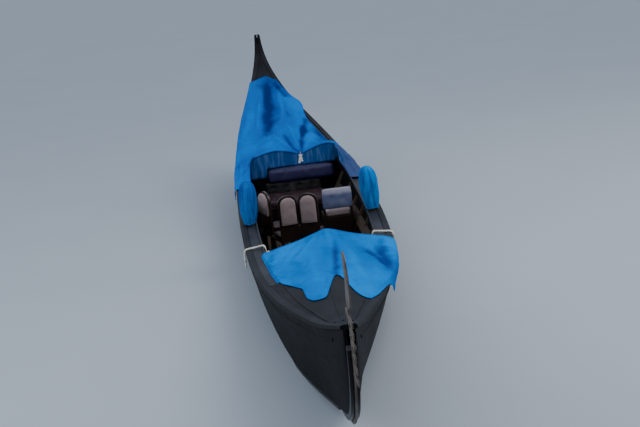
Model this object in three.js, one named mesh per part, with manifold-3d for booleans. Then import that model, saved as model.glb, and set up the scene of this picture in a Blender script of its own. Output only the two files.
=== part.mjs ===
// A Venetian gondola as it lies at its mooring: lacquered hull, irons, decks, seats and blue canvas covers.
// Millimetres. +X points to the bow, +Y to port, +Z up. The origin is on the waterline at mid-length,
// on the straight line from stem to sternpost. The hull is wider to port, as the real boat is.

import * as THREE from 'three';
import { mergeVertices } from 'three/addons/utils/BufferGeometryUtils.js';
import Module from 'manifold-3d';

const wasm = await Module();
wasm.setup();

// Driving dimensions
const MAX_BEAM = 1400;
const PORT_LEAN = 0.12; // extra share of the beam that lies to port, at the widest section
const PLANK = 18; // side planking
const BOTTOM = 20; // bottom planking
const SEAT_GAP = 0.4; // between pieces that touch
const FIT_GAP = 0.3;
const STEM_HALF_WIDTH = 28;
const STEM_DEPTH = 60;
const RAIL_HEIGHT = 32; // gunwale cap rail
const RAIL_OUT = 14;
const RAIL_IN = 46;
const DECK_THICK = 14;
const FORE_BULKHEAD_X = 2600;
const AFT_BULKHEAD_X = -2420;
const BULKHEAD = 18;
const COVER_THICK = 6; // canvas with its hems and folds
const SIDE_STEPS = 4; // facets from chine to sheer
const LINE_STEPS = 2; // stations made from each gap between two rows of the lines table

// Lines of the hull, stern to bow: x, height of the sheer, beam at the sheer,
// height of the planking's low edge, width of the bottom.
const LINES = [
  [-5440, 1870, 44, 1640, 40],
  [-5400, 1765, 62, 1440, 50],
  [-5300, 1628, 104, 1180, 56],
  [-5100, 1475, 192, 850, 56],
  [-4800, 1310, 338, 560, 56],
  [-4400, 1112, 556, 330, 66],
  [-3900, 936, 820, 175, 205],
  [-3300, 774, 1055, 60, 450],
  [-2500, 612, 1272, -50, 700],
  [-1600, 500, 1390, -125, 870],
  [-600, 445, 1400, -150, 940],
  [400, 438, 1350, -145, 910],
  [1300, 466, 1258, -105, 830],
  [2100, 532, 1112, -45, 700],
  [2900, 624, 895, 35, 505],
  [3600, 718, 660, 115, 270],
  [4150, 812, 448, 200, 92],
  [4550, 884, 294, 310, 56],
  [4850, 962, 183, 460, 56],
  [5030, 1012, 115, 640, 56],
  [5110, 1036, 85, 800, 56],
  [5150, 1048, 70, 960, 56],
];
const COLUMN = { sheer: 1, beam: 2, low: 3, chine: 4 };
const STERN_X = LINES[0][0];
const BOW_X = LINES.at(-1)[0];

// Materials
const paint = (name, color, roughness, metalness = 0) =>
  new THREE.MeshStandardMaterial({ name, color, roughness, metalness });
const BLACK_LACQUER = paint('black lacquer', 0x0b0b0d, 0.18);
const BARE_WOOD = paint('varnished wood', 0x5a3c24, 0.5);
const IRON = paint('polished iron', 0xa8a9ad, 0.25, 1);
const BLUE_CANVAS = paint('blue canvas', 0x0a6cc0, 0.85);
const SMOKY_COVER = paint('smoky blue cover', 0x2c4560, 0.35);
const MAROON_LEATHER = paint('maroon leather', 0x3c1218, 0.45);
const DARK_LEATHER = paint('black leather', 0x100e10, 0.5);
const PALE_FABRIC = paint('pale upholstery', 0x9c938c, 0.8);
const WHITE_ROPE = paint('white rope', 0xd9d6c4, 0.9);

const gondola = new THREE.Group();

function addPiece(name, geometry, material) {
  const mesh = new THREE.Mesh(geometry, material);
  mesh.name = name;
  gondola.add(mesh);
  return mesh;
}

// A smooth line through two columns of the table that never overshoots its rows.
function fairLine(column) {
  const xs = LINES.map((row) => row[0]);
  const ys = LINES.map((row) => row[column]);
  const rise = xs.slice(1).map((x, i) => (ys[i + 1] - ys[i]) / (x - xs[i]));
  const slope = ys.map((_, i) => {
    if (i === 0) return rise[0];
    if (i === ys.length - 1) return rise.at(-1);
    const [a, b] = [rise[i - 1], rise[i]];
    return a * b <= 0 ? 0 : (2 * a * b) / (a + b);
  });
  return (x) => {
    const last = xs.length - 2;
    const i = Math.max(0, Math.min(last, xs.findIndex((right) => right > x) - 1));
    const k = xs.at(-1) <= x ? last : i;
    const span = xs[k + 1] - xs[k];
    const t = (x - xs[k]) / span;
    const [s, r] = [t * t * (3 - 2 * t), t * (1 - t)];
    return ys[k] * (1 - s) + ys[k + 1] * s + span * r * ((1 - t) * slope[k] - t * slope[k + 1]);
  };
}

// The stations, and the hull lines as straight runs between them, so that every piece meets the same facets.
const stations = LINES.flatMap((row, i) => {
  if (i === LINES.length - 1) return [row[0]];
  const width = LINES[i + 1][0] - row[0];
  return Array.from({ length: LINE_STEPS }, (_, k) => row[0] + (width * k) / LINE_STEPS);
});
const sampled = Object.fromEntries(
  Object.entries(COLUMN).map(([name, column]) => [name, stations.map(fairLine(column))]),
);

function lineAt(name, x) {
  const values = sampled[name];
  const i = Math.min(stations.length - 2, Math.max(0, stations.findIndex((s) => s > x) - 1));
  const k = x >= stations.at(-1) ? stations.length - 2 : i;
  const t = (x - stations[k]) / (stations[k + 1] - stations[k]);
  return values[k] + (values[k + 1] - values[k]) * t;
}

const PORT = 1;
const STARBOARD = -1;
const SIDES = [['port', PORT], ['starboard', STARBOARD]];

function halfOf(width, side) {
  return width * (0.5 + (side * PORT_LEAN * width) / MAX_BEAM);
}

// Half-breadths are taken at the stations and run straight between them.
for (const [label, side] of SIDES) {
  sampled[label + 'Sheer'] = sampled.beam.map((width) => halfOf(width, side));
  sampled[label + 'Chine'] = sampled.chine.map((width) => halfOf(width, side));
}

const labelOf = (side) => (side === PORT ? 'port' : 'starboard');
const sheerAt = (x) => lineAt('sheer', x);
const lowAt = (x) => lineAt('low', x);
const sheerHalf = (x, side) => lineAt(labelOf(side) + 'Sheer', x);
const chineHalf = (x, side) => lineAt(labelOf(side) + 'Chine', x);

// A point on the planking at x: t runs from the low edge, 0, to the sheer, 1. inset moves it inboard.
const SIDE_BULGE = 0.035; // outward swell of the side, as a share of its height
function sidePoint(x, side, t, inset = 0) {
  const [low, sheer] = [lowAt(x), sheerAt(x)];
  const swell = SIDE_BULGE * (sheer - low) * 4 * t * (1 - t);
  const half = chineHalf(x, side) * (1 - t) + sheerHalf(x, side) * t + swell - inset;
  return new THREE.Vector3(x, side * half, low + (sheer - low) * t);
}

const steps = (count) => Array.from({ length: count + 1 }, (_, i) => i / count);
const between = (low, high) => [low, ...stations.filter((x) => x > low && x < high), high];

// Solids
function asSolid(geometry) {
  const bare = geometry.clone();
  for (const name of Object.keys(bare.attributes)) {
    if (name !== 'position') bare.deleteAttribute(name);
  }
  const merged = mergeVertices(bare, 1e-3);
  return new wasm.Manifold(new wasm.Mesh({
    numProp: 3,
    vertProperties: merged.attributes.position.array,
    triVerts: new Uint32Array(merged.index.array),
  }));
}

function asGeometry(solid) {
  const mesh = solid.getMesh();
  const stride = mesh.numProp;
  const points = new Float32Array(mesh.numVert * 3);
  for (let i = 0; i < mesh.numVert; i += 1) {
    points.set(mesh.vertProperties.subarray(i * stride, i * stride + 3), i * 3);
  }
  return new THREE.BufferGeometry()
    .setAttribute('position', new THREE.BufferAttribute(points, 3))
    .setIndex(new THREE.BufferAttribute(mesh.triVerts, 1));
}

const cut = (geometry, ...tools) =>
  asGeometry(tools.reduce((solid, tool) => solid.subtract(asSolid(tool)), asSolid(geometry)));
const fuse = (...geometries) =>
  asGeometry(geometries.map(asSolid).reduce((all, solid) => all.add(solid)));
const common = (first, second) => asGeometry(asSolid(first).intersect(asSolid(second)));

function signedVolume(points, triangles) {
  return triangles.reduce(
    (sum, [a, b, c]) => sum + points[a].dot(points[b].clone().cross(points[c])), 0);
}

function fromTriangles(points, triangles) {
  const outward = signedVolume(points, triangles) > 0;
  const index = triangles.flatMap(([a, b, c]) => (outward ? [a, b, c] : [a, c, b]));
  return new THREE.BufferGeometry().setFromPoints(points).setIndex(index);
}

// Triangles of a ring's flat cap, whichever way the ring faces.
function capTriangles(ring) {
  const normal = new THREE.Vector3();
  ring.forEach((p, i) => {
    const q = ring[(i + 1) % ring.length];
    normal.add(new THREE.Vector3(
      (p.y - q.y) * (p.z + q.z), (p.z - q.z) * (p.x + q.x), (p.x - q.x) * (p.y + q.y)));
  });
  const turn = new THREE.Quaternion().setFromUnitVectors(normal.normalize(), new THREE.Vector3(0, 0, 1));
  const flat = ring.map((p) => p.clone().applyQuaternion(turn)).map((p) => new THREE.Vector2(p.x, p.y));
  return THREE.ShapeUtils.triangulateShape(flat, []);
}

// Skin over a row of rings of equal length; a loop of rings closes on itself, and a row gets two caps.
function loft(rings, isLoop = false) {
  const count = rings[0].length;
  const points = rings.flat();
  const triangles = [];
  const gaps = isLoop ? rings.length : rings.length - 1;
  for (let i = 0; i < gaps; i += 1) {
    const [here, next] = [i * count, ((i + 1) % rings.length) * count];
    for (let j = 0; j < count; j += 1) {
      const k = (j + 1) % count;
      triangles.push([here + j, here + k, next + k], [here + j, next + k, next + j]);
    }
  }
  if (!isLoop) {
    const end = (rings.length - 1) * count;
    for (const [a, b, c] of capTriangles(rings[0])) triangles.push([a, c, b]);
    for (const [a, b, c] of capTriangles(rings.at(-1))) triangles.push([end + a, end + b, end + c]);
  }
  return fromTriangles(points, triangles);
}

// A rectangular block between two corners.
function block([x0, y0, z0], [x1, y1, z1]) {
  return new THREE.BoxGeometry(x1 - x0, y1 - y0, z1 - z0)
    .translate((x0 + x1) / 2, (y0 + y1) / 2, (z0 + z1) / 2);
}

// A flat outline in x and z, given its thickness across the boat.
function sidePlate(outline, y0, y1) {
  const shape = new THREE.Shape(outline.map(([x, z]) => new THREE.Vector2(x, z)));
  return new THREE.ExtrudeGeometry(shape, { depth: y1 - y0, bevelEnabled: false })
    .rotateX(Math.PI / 2)
    .translate(0, y1, 0);
}

// A flat outline in y and z, given its thickness along the boat.
function crossPlate(outline, x0, x1) {
  return loft([x0, x1].map((x) => outline.map(([y, z]) => new THREE.Vector3(x, y, z))));
}

// A round bar along x, y or z.
function bar(axis, radius, from, to, sides = 20) {
  const length = to[axis] - from[axis];
  const geometry = new THREE.CylinderGeometry(radius, radius, length, sides);
  if (axis === 'x') geometry.rotateZ(Math.PI / 2);
  if (axis === 'z') geometry.rotateX(Math.PI / 2);
  return geometry.translate((from.x + to.x) / 2, (from.y + to.y) / 2, (from.z + to.z) / 2);
}

// A rope along a path that lies in one plane, whose normal is given.
const ROPE_RADIUS = 9;
const ROPE_SIDES = 8;
function rope(path, normal, isLoop = false) {
  const last = path.length - 1;
  const rings = path.map((point, i) => {
    const before = path[isLoop ? (i + last) % path.length : Math.max(0, i - 1)];
    const after = path[isLoop ? (i + 1) % path.length : Math.min(last, i + 1)];
    const out = after.clone().sub(before).normalize().cross(normal);
    return steps(ROPE_SIDES).slice(0, -1).map((t) => point.clone()
      .addScaledVector(normal, ROPE_RADIUS * Math.cos(2 * Math.PI * t))
      .addScaledVector(out, ROPE_RADIUS * Math.sin(2 * Math.PI * t)));
  });
  return loft(rings, isLoop);
}

// A line of points moved to the left of its direction, by a distance or by a function of a point's number.
function offsetLine(points, distanceOrRule) {
  return points.map(([a, b], i) => {
    const [p, q] = [points[Math.max(0, i - 1)], points[Math.min(points.length - 1, i + 1)]];
    const turns = [[p, [a, b]], [[a, b], q]]
      .map(([from, to]) => new THREE.Vector2(to[0] - from[0], to[1] - from[1]))
      .filter((v) => v.lengthSq() > 0)
      .map((v) => new THREE.Vector2(-v.y, v.x).normalize());
    const mean = turns.reduce((sum, v) => sum.add(v), new THREE.Vector2()).normalize();
    const distance = typeof distanceOrRule === 'function' ? distanceOrRule(i) : distanceOrRule;
    const reach = distance / Math.max(0.5, mean.dot(turns[0]));
    return [a + mean.x * reach, b + mean.y * reach];
  });
}

// Space inside the planking, up to just under the sheer, with the given clearance to the planks.
function insideHull(x0, x1, clearance, floorClearance = clearance) {
  const inset = PLANK + clearance;
  return loft(between(x0, x1).map((x) => [
    ...steps(SIDE_STEPS).map((t) => sidePoint(x, PORT, t, inset)),
    ...steps(SIDE_STEPS).reverse().map((t) => sidePoint(x, STARBOARD, t, inset)),
  ].map((p, i, ring) => {
    const isLow = i === 0 || i === ring.length - 1;
    return isLow ? p.setZ(p.z + floorClearance) : p;
  })));
}

// Hull planking: the sides stand on the bottom boards.
function sidePlanking(side) {
  return loft(stations.map((x) => [
    ...steps(SIDE_STEPS).map((t) => sidePoint(x, side, t)),
    ...steps(SIDE_STEPS).reverse().map((t) => sidePoint(x, side, t, PLANK)),
  ]));
}
for (const [label, side] of SIDES) {
  addPiece('side_planking_' + label, sidePlanking(side), BLACK_LACQUER);
}

const BOTTOM_END_BOW = 4150;
const BOTTOM_END_STERN = -4300;
const bottomPlanking = loft(between(BOTTOM_END_STERN, BOTTOM_END_BOW).map((x) => {
  const top = lowAt(x) - FIT_GAP;
  const [port, starboard] = [chineHalf(x, PORT), -chineHalf(x, STARBOARD)];
  return [[port, top - BOTTOM], [port, top], [starboard, top], [starboard, top - BOTTOM]]
    .map(([y, z]) => new THREE.Vector3(x, y, z));
}));
addPiece('bottom_planking', bottomPlanking, BLACK_LACQUER);

// Stem and sternpost: curved timbers under the planks' low edges, from the bottom boards to the heads.
function profileLine(xs) {
  return xs.map((x) => [x, lowAt(x)]);
}
const bowProfile = profileLine(between(BOTTOM_END_BOW + SEAT_GAP, BOW_X));
const sternProfile = profileLine(between(STERN_X, BOTTOM_END_STERN - SEAT_GAP));
const TIMBER_TAPER_POINTS = 5; // stations over which a timber grows from the bottom boards to its full depth
const growth = (count) => Math.min(1, count / TIMBER_TAPER_POINTS);
const stemDepth = (i) => BOTTOM + (STEM_DEPTH - BOTTOM) * growth(i);
const sternDepth = (i) => stemDepth(sternProfile.length - 1 - i);
function endTimber(profile, depth) {
  const [inner, outer] = [offsetLine(profile, -SEAT_GAP), offsetLine(profile, (i) => -depth(i))];
  return sidePlate([...inner, ...outer.reverse()], -STEM_HALF_WIDTH, STEM_HALF_WIDTH);
}
addPiece('stem', endTimber(bowProfile, stemDepth), BLACK_LACQUER);
addPiece('sternpost', endTimber(sternProfile, sternDepth), BLACK_LACQUER);

// Gunwale cap rails, with a rounded outer nose.
const RAIL_NOSE = [[0, FIT_GAP], [RAIL_OUT, 6], [RAIL_OUT + 2, 16], [RAIL_OUT - 3, 27], [4, RAIL_HEIGHT]];
const RAIL_MIN_INNER = 4;
function railInner(x, side) {
  return Math.max(RAIL_MIN_INNER, sheerHalf(x, side) - RAIL_IN);
}
function capRail(side) {
  return loft(stations.map((x) => {
    const [half, top] = [sheerHalf(x, side), sheerAt(x)];
    const inner = railInner(x, side);
    return [
      ...RAIL_NOSE.map(([out, up]) => [half + out, top + up]),
      [inner, top + RAIL_HEIGHT],
      [inner, top + FIT_GAP],
    ].map(([y, z]) => new THREE.Vector3(x, side * y, z));
  }));
}
for (const [label, side] of SIDES) {
  addPiece('cap_rail_' + label, capRail(side), BLACK_LACQUER);
}

// Decks: cambered boards between the rails.
const CAMBER = 0.1; // rise at the middle, as a share of the deck's width
const DECK_STEPS = 8;
const DECK_EDGE_DROP = 6; // deck edge below the rail's top
function deckTop(x, t) {
  const [port, starboard] = [railInner(x, PORT), -railInner(x, STARBOARD)];
  const y = port + (starboard - port) * t;
  const crown = CAMBER * (port - starboard) * 4 * t * (1 - t);
  return [y, sheerAt(x) + RAIL_HEIGHT - DECK_EDGE_DROP + crown];
}
function deck(x0, x1) {
  return loft(between(x0, x1).map((x) => {
    const top = steps(DECK_STEPS).map((t) => deckTop(x, t));
    top[0][0] -= SEAT_GAP;
    top.at(-1)[0] += SEAT_GAP;
    return [...top, ...top.map(([y, z]) => [y, z - DECK_THICK]).reverse()]
      .map(([y, z]) => new THREE.Vector3(x, y, z));
  }));
}
const FORE_DECK_END = 5120;
const AFT_DECK_END = -5400;
addPiece('fore_deck', deck(FORE_BULKHEAD_X, FORE_DECK_END), BLACK_LACQUER);
addPiece('aft_deck', deck(AFT_DECK_END, AFT_BULKHEAD_X + BULKHEAD), BLACK_LACQUER);

// Bulkheads close the space under each deck. The fore one has a locker doorway.
const DOORWAY = { y0: -190, y1: 190, z0: 130, z1: 440 };
function bulkhead(x0) {
  const x1 = x0 + BULKHEAD;
  return loft([x0 + SEAT_GAP, x1 - SEAT_GAP].map((x) => {
    const underDeck = steps(DECK_STEPS).map((t) => deckTop(x, t))
      .map(([y, z]) => [y, z - DECK_THICK - SEAT_GAP]);
    underDeck[0][0] -= SEAT_GAP;
    underDeck.at(-1)[0] += SEAT_GAP;
    const shoulders = [underDeck[0], underDeck.at(-1)].map(([y]) => new THREE.Vector3(x, y, sheerAt(x)));
    return [
      ...steps(SIDE_STEPS).map((t) => sidePoint(x, PORT, t, PLANK + SEAT_GAP)),
      shoulders[0],
      ...underDeck.map(([y, z]) => new THREE.Vector3(x, y, z)),
      shoulders[1],
      ...steps(SIDE_STEPS).reverse().map((t) => sidePoint(x, STARBOARD, t, PLANK + SEAT_GAP)),
    ];
  }));
}

// The locker door hangs on a pin held by two lugs of the fore bulkhead, and opens aft.
const DOOR_THICK = 16;
const DOOR_LAP = 14; // door over the doorway's edge
const DOOR_CLEARANCE = 5;
const PIN_R = 4.2;
const KNUCKLE_BORE_R = 4.8;
const KNUCKLE_R = 9;
const LUG_HEIGHT = 22;
const LUG_INSET = 30; // lugs from the door's ends
const doorFaceX = FORE_BULKHEAD_X + SEAT_GAP - DOOR_CLEARANCE;
const pinX = doorFaceX - DOOR_THICK / 2;
const pinY = DOORWAY.y1 + DOOR_LAP + KNUCKLE_R + 1;
const [doorLow, doorHigh] = [DOORWAY.z0 - DOOR_LAP, DOORWAY.z1 + DOOR_LAP];
const lugSpans = [doorLow + LUG_INSET, doorHigh - LUG_INSET - LUG_HEIGHT].map((z) => [z, z + LUG_HEIGHT]);
const pinAxis = (z) => new THREE.Vector3(pinX, pinY, z);
const pin = bar('z', PIN_R, pinAxis(lugSpans[0][0] + 2), pinAxis(lugSpans[1][1] - 2));
const lugs = lugSpans.flatMap(([z0, z1]) => [
  bar('z', KNUCKLE_R, pinAxis(z0), pinAxis(z1)),
  block([pinX, pinY, z0], [FORE_BULKHEAD_X + BULKHEAD / 2, pinY + KNUCKLE_R, z1]),
]);
const doorway = block(
  [FORE_BULKHEAD_X - BULKHEAD, DOORWAY.y0, DOORWAY.z0],
  [FORE_BULKHEAD_X + 2 * BULKHEAD, DOORWAY.y1, DOORWAY.z1]);
addPiece('fore_bulkhead', fuse(cut(bulkhead(FORE_BULKHEAD_X), doorway), pin, ...lugs), BLACK_LACQUER);
addPiece('aft_bulkhead', bulkhead(AFT_BULKHEAD_X), BLACK_LACQUER);

const knuckleLow = lugSpans[0][1] + SEAT_GAP;
const knuckleHigh = lugSpans[1][0] - SEAT_GAP;
const doorPanel = block(
  [doorFaceX - DOOR_THICK, DOORWAY.y0 - DOOR_LAP, doorLow],
  [doorFaceX, DOORWAY.y1 + DOOR_LAP - DOOR_CLEARANCE, doorHigh]);
const doorWeb = block(
  [doorFaceX - DOOR_THICK + 2, DOORWAY.y1, knuckleLow], [doorFaceX - 2, pinY, knuckleHigh]);
const knuckle = bar('z', KNUCKLE_R, pinAxis(knuckleLow), pinAxis(knuckleHigh));
const pinBore = bar('z', KNUCKLE_BORE_R, pinAxis(doorLow - 10), pinAxis(doorHigh + 10));
const KNOB = { radius: 13, stand: 7.8, inset: 30 };
const doorKnob = new THREE.SphereGeometry(KNOB.radius, 12, 8)
  .translate(doorFaceX - DOOR_THICK - KNOB.stand, DOORWAY.y0 + KNOB.inset, (doorLow + doorHigh) / 2);
addPiece('locker_door', fuse(cut(fuse(doorPanel, doorWeb, knuckle), pinBore), doorKnob), BARE_WOOD);

// Frames in the open well, tied together by the keelson.
const FRAME_SPACING = 440;
const FRAME_FIRST_X = -2320;
const FRAME_COUNT = 12;
const FRAME_WIDTH = 26;
const FLOOR_OVERHANG = { aft: 60, fore: 40 }; // floorboards beyond the end frames
const FRAME_DEPTH = 34;
const KEELSON_HALF = 45;
const KEELSON_HIGH = 24;
const wellInside = insideHull(AFT_BULKHEAD_X + BULKHEAD + 20, FORE_BULKHEAD_X - 20, SEAT_GAP);
const wellCore = insideHull(AFT_BULKHEAD_X + BULKHEAD, FORE_BULKHEAD_X, FRAME_DEPTH);
const frameXs = Array.from({ length: FRAME_COUNT }, (_, i) => FRAME_FIRST_X + i * FRAME_SPACING);
const frameSlabs = fuse(...frameXs.map((x) =>
  block([x, -MAX_BEAM, -400], [x + FRAME_WIDTH, MAX_BEAM, lowAt(x) + 900])));
const frameRing = common(cut(wellInside, wellCore), frameSlabs);
const keelsonSpan = [FRAME_FIRST_X, frameXs.at(-1) + FRAME_WIDTH];
const keelson = loft(between(...keelsonSpan).map((x) => {
  const z = lowAt(x) + SEAT_GAP;
  return [
    [KEELSON_HALF, z], [KEELSON_HALF, z + KEELSON_HIGH], [-KEELSON_HALF, z + KEELSON_HIGH], [-KEELSON_HALF, z]]
    .map(([y, up]) => new THREE.Vector3(x, y, up));
}));

// A band along the well: between two heights over the low edge, from one y to another.
function band(lowRise, highRise, y0, y1) {
  return loft(between(AFT_BULKHEAD_X, FORE_BULKHEAD_X).map((x) => {
    const [z0, z1] = [lowAt(x) + lowRise, lowAt(x) + highRise];
    return [[y0, z0], [y1, z0], [y1, z1], [y0, z1]].map(([y, z]) => new THREE.Vector3(x, y, z));
  }));
}
const TIMBER_RISE = 60; // top of the floor timbers over the low edge
const floorTimbers = common(frameRing, band(-10, TIMBER_RISE, -MAX_BEAM, MAX_BEAM));
addPiece('floor_timbers', fuse(floorTimbers, keelson), BLACK_LACQUER);

// Ribs stand on the floor timbers, and a stringer joins each side's ribs.
const STRINGER = { low: 0.5, high: 0.62, outer: 4, inner: FRAME_DEPTH - 2 };
function stringer(side) {
  return loft(between(...keelsonSpan).map((x) => [
    sidePoint(x, side, STRINGER.low, PLANK + STRINGER.outer),
    sidePoint(x, side, STRINGER.high, PLANK + STRINGER.outer),
    sidePoint(x, side, STRINGER.high, PLANK + STRINGER.inner),
    sidePoint(x, side, STRINGER.low, PLANK + STRINGER.inner),
  ]));
}
for (const [label, side] of SIDES) {
  const outermost = side * MAX_BEAM;
  const half = band(TIMBER_RISE + FIT_GAP, MAX_BEAM, Math.min(0, outermost), Math.max(0, outermost));
  addPiece('ribs_' + label, fuse(common(frameRing, half), stringer(side)), BLACK_LACQUER);
}

// Floorboards on the frames.
const FLOOR_THICK = 14;
const FLOOR_SIDE_CLEARANCE = 12;
const floorAt = (x) => lowAt(x) + FRAME_DEPTH + FIT_GAP;
const floorTopAt = (x) => floorAt(x) + FLOOR_THICK;
const floorXs = between(
  FRAME_FIRST_X - FLOOR_OVERHANG.aft, frameXs.at(-1) + FRAME_WIDTH + FLOOR_OVERHANG.fore);
addPiece('floorboards', loft(floorXs.map((x) => {
  const inset = PLANK + FRAME_DEPTH + FLOOR_SIDE_CLEARANCE;
  const [port, starboard] = [chineHalf(x, PORT) - inset, inset - chineHalf(x, STARBOARD)];
  return [[port, floorAt(x)], [port, floorTopAt(x)], [starboard, floorTopAt(x)], [starboard, floorAt(x)]]
    .map(([y, z]) => new THREE.Vector3(x, y, z));
})), BARE_WOOD);

// The fore thwart, just aft of the fore cover.
const THWART_WIDTH = 170;
const THWART_THICK = 30;
const FORE_THWART_X = 795;
const THWART_DROP = 34; // thwart's top below the sheer
function thwart(x, z) {
  const plank = block([x, -MAX_BEAM, z - THWART_THICK], [x + THWART_WIDTH, MAX_BEAM, z]);
  return common(insideHull(x - 50, x + THWART_WIDTH + 50, SEAT_GAP), plank);
}
const foreThwartTop = sheerAt(FORE_THWART_X) - THWART_DROP;
addPiece('fore_thwart', thwart(FORE_THWART_X, foreThwartTop), BLACK_LACQUER);

// A ridge batten and its post hold up the fore cover between the floorboards and the deck.
const RIDGE = { x0: 1205, x1: FORE_BULKHEAD_X - 6, low: 660, high: 686, size: 30, share: 0.44 };
const ridgeY = (x) => deckTop(x, RIDGE.share)[0];
const ridgeTopAt = (x) => RIDGE.low + (RIDGE.high - RIDGE.low) * (x - RIDGE.x0) / (RIDGE.x1 - RIDGE.x0);
const ridgeBatten = loft([RIDGE.x0, RIDGE.x1].map((x) => {
  const [y, z, half] = [ridgeY(x), ridgeTopAt(x), RIDGE.size / 2];
  return [[y + half, z], [y - half, z], [y - half, z - RIDGE.size], [y + half, z - RIDGE.size]]
    .map(([across, up]) => new THREE.Vector3(x, across, up));
}));
const postX = RIDGE.x0 + 40;
const postFoot = floorTopAt(postX + RIDGE.size) + SEAT_GAP;
const battenPost = block(
  [postX, ridgeY(postX) - RIDGE.size / 2, postFoot],
  [postX + RIDGE.size, ridgeY(postX) + RIDGE.size / 2, RIDGE.low - RIDGE.size / 2]);
addPiece('cover_ridge_batten', fuse(battenPost, ridgeBatten), BARE_WOOD);

// Bow iron: a flat blade with a curved cap, six teeth forward, one aft, and a tail down the stem.
const IRON_THICK = 9;
const TAIL_WIDTH = 52;
const TAIL_TIP = 10;
const TAIL_LOW_INDEX = 1; // where on the stem's line the tail starts
const TOOTH_COUNT = 6;
const TOOTH_PITCH = 66;
const TOOTH_HEIGHT = 36;
const TOOTH_LENGTH = 135;
const COMB_LOW = 800;
const tailWidth = (i) => TAIL_TIP + (TAIL_WIDTH - TAIL_TIP) * growth(i - TAIL_LOW_INDEX);
const tailBack = offsetLine(bowProfile, (i) => -(stemDepth(i) + SEAT_GAP)).slice(TAIL_LOW_INDEX);
const tailFront = offsetLine(bowProfile, (i) => -(stemDepth(i) + tailWidth(i))).slice(TAIL_LOW_INDEX);
const backX = tailBack.at(-1)[0];
const rootX = backX + 58;
const comb = Array.from({ length: TOOTH_COUNT }, (_, i) => COMB_LOW + i * TOOTH_PITCH)
  .flatMap((z) => [[rootX, z], [rootX + TOOTH_LENGTH, z], [rootX + TOOTH_LENGTH, z + TOOTH_HEIGHT],
    [rootX, z + TOOTH_HEIGHT]]);
const CAP_LOW = COMB_LOW + TOOTH_COUNT * TOOTH_PITCH;
// The cap's edge, as a start and curves of a control point and an end, measured from the comb's root.
const CAP_START = [6, 8];
const CAP_CURVES = [
  [[212, 38], [190, 185]],
  [[165, 300], [70, 332]],
  [[10, 346], [-38, 316]],
  [[22, 190], [-54, 66]],
];
const CAP_CURVE_STEPS = 5;
const capPath = new THREE.Path().moveTo(rootX + CAP_START[0], CAP_LOW + CAP_START[1]);
for (const [[cx, cz], [ex, ez]] of CAP_CURVES) {
  capPath.quadraticCurveTo(rootX + cx, CAP_LOW + cz, rootX + ex, CAP_LOW + ez);
}
const capEdge = capPath.getPoints(CAP_CURVE_STEPS).map(({ x, y }) => [x, y]);
const REAR_TOOTH = { z0: 1120, z1: 1158, reach: 130 };
const bladeBack = [
  [backX, REAR_TOOTH.z1], [backX - REAR_TOOTH.reach, REAR_TOOTH.z1],
  [backX - REAR_TOOTH.reach, REAR_TOOTH.z0], [backX, REAR_TOOTH.z0],
];
const ironOutline = [
  ...tailFront.filter(([, z]) => z < COMB_LOW - 20),
  ...comb,
  ...capEdge,
  ...bladeBack,
  ...[...tailBack].reverse(),
];
addPiece('bow_iron', sidePlate(ironOutline, -IRON_THICK / 2, IRON_THICK / 2), IRON);

// Stern iron: a strip round the sternpost's head.
const STERN_STRIP = 8;
const STERN_STRIP_LOW = 700;
const stripPoints = sternProfile.filter(([, z]) => z > STERN_STRIP_LOW).length;
const sternStrip = [
  ...offsetLine(sternProfile, (i) => -(sternDepth(i) + SEAT_GAP)).slice(0, stripPoints),
  ...offsetLine(sternProfile, (i) => -(sternDepth(i) + SEAT_GAP + STERN_STRIP))
    .slice(0, stripPoints).reverse(),
];
addPiece('stern_iron', sidePlate(sternStrip, -STEM_HALF_WIDTH + 6, STEM_HALF_WIDTH - 6), IRON);

// Side decks run along the well inside the rails, with a coaming on their inner edge.
const SIDE_DECK_WIDTH = 105;
const SIDE_DECK_LOW = 8; // above the sheer
const SIDE_DECK_TOP = 26;
const COAMING = { thick: 16, rise: 22, drop: 26 };
const wellSpan = [-2358, FORE_BULKHEAD_X - 40];
const sideDeckInner = (x, side) => railInner(x, side) - SIDE_DECK_WIDTH;
function sideDeck(side) {
  return loft(between(...wellSpan).map((x) => {
    const [outer, inner, z] = [railInner(x, side) - SEAT_GAP, sideDeckInner(x, side), sheerAt(x)];
    const step = inner + COAMING.thick;
    return [
      [outer, z + SIDE_DECK_LOW], [outer, z + SIDE_DECK_TOP], [step, z + SIDE_DECK_TOP],
      [step, z + SIDE_DECK_TOP + COAMING.rise], [inner, z + SIDE_DECK_TOP + COAMING.rise],
      [inner, z - COAMING.drop], [step, z - COAMING.drop], [step, z + SIDE_DECK_LOW],
    ].map(([y, up]) => new THREE.Vector3(x, side * y, up));
  }));
}
for (const [label, side] of SIDES) {
  addPiece('side_deck_' + label, sideDeck(side), BLACK_LACQUER);
}

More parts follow.
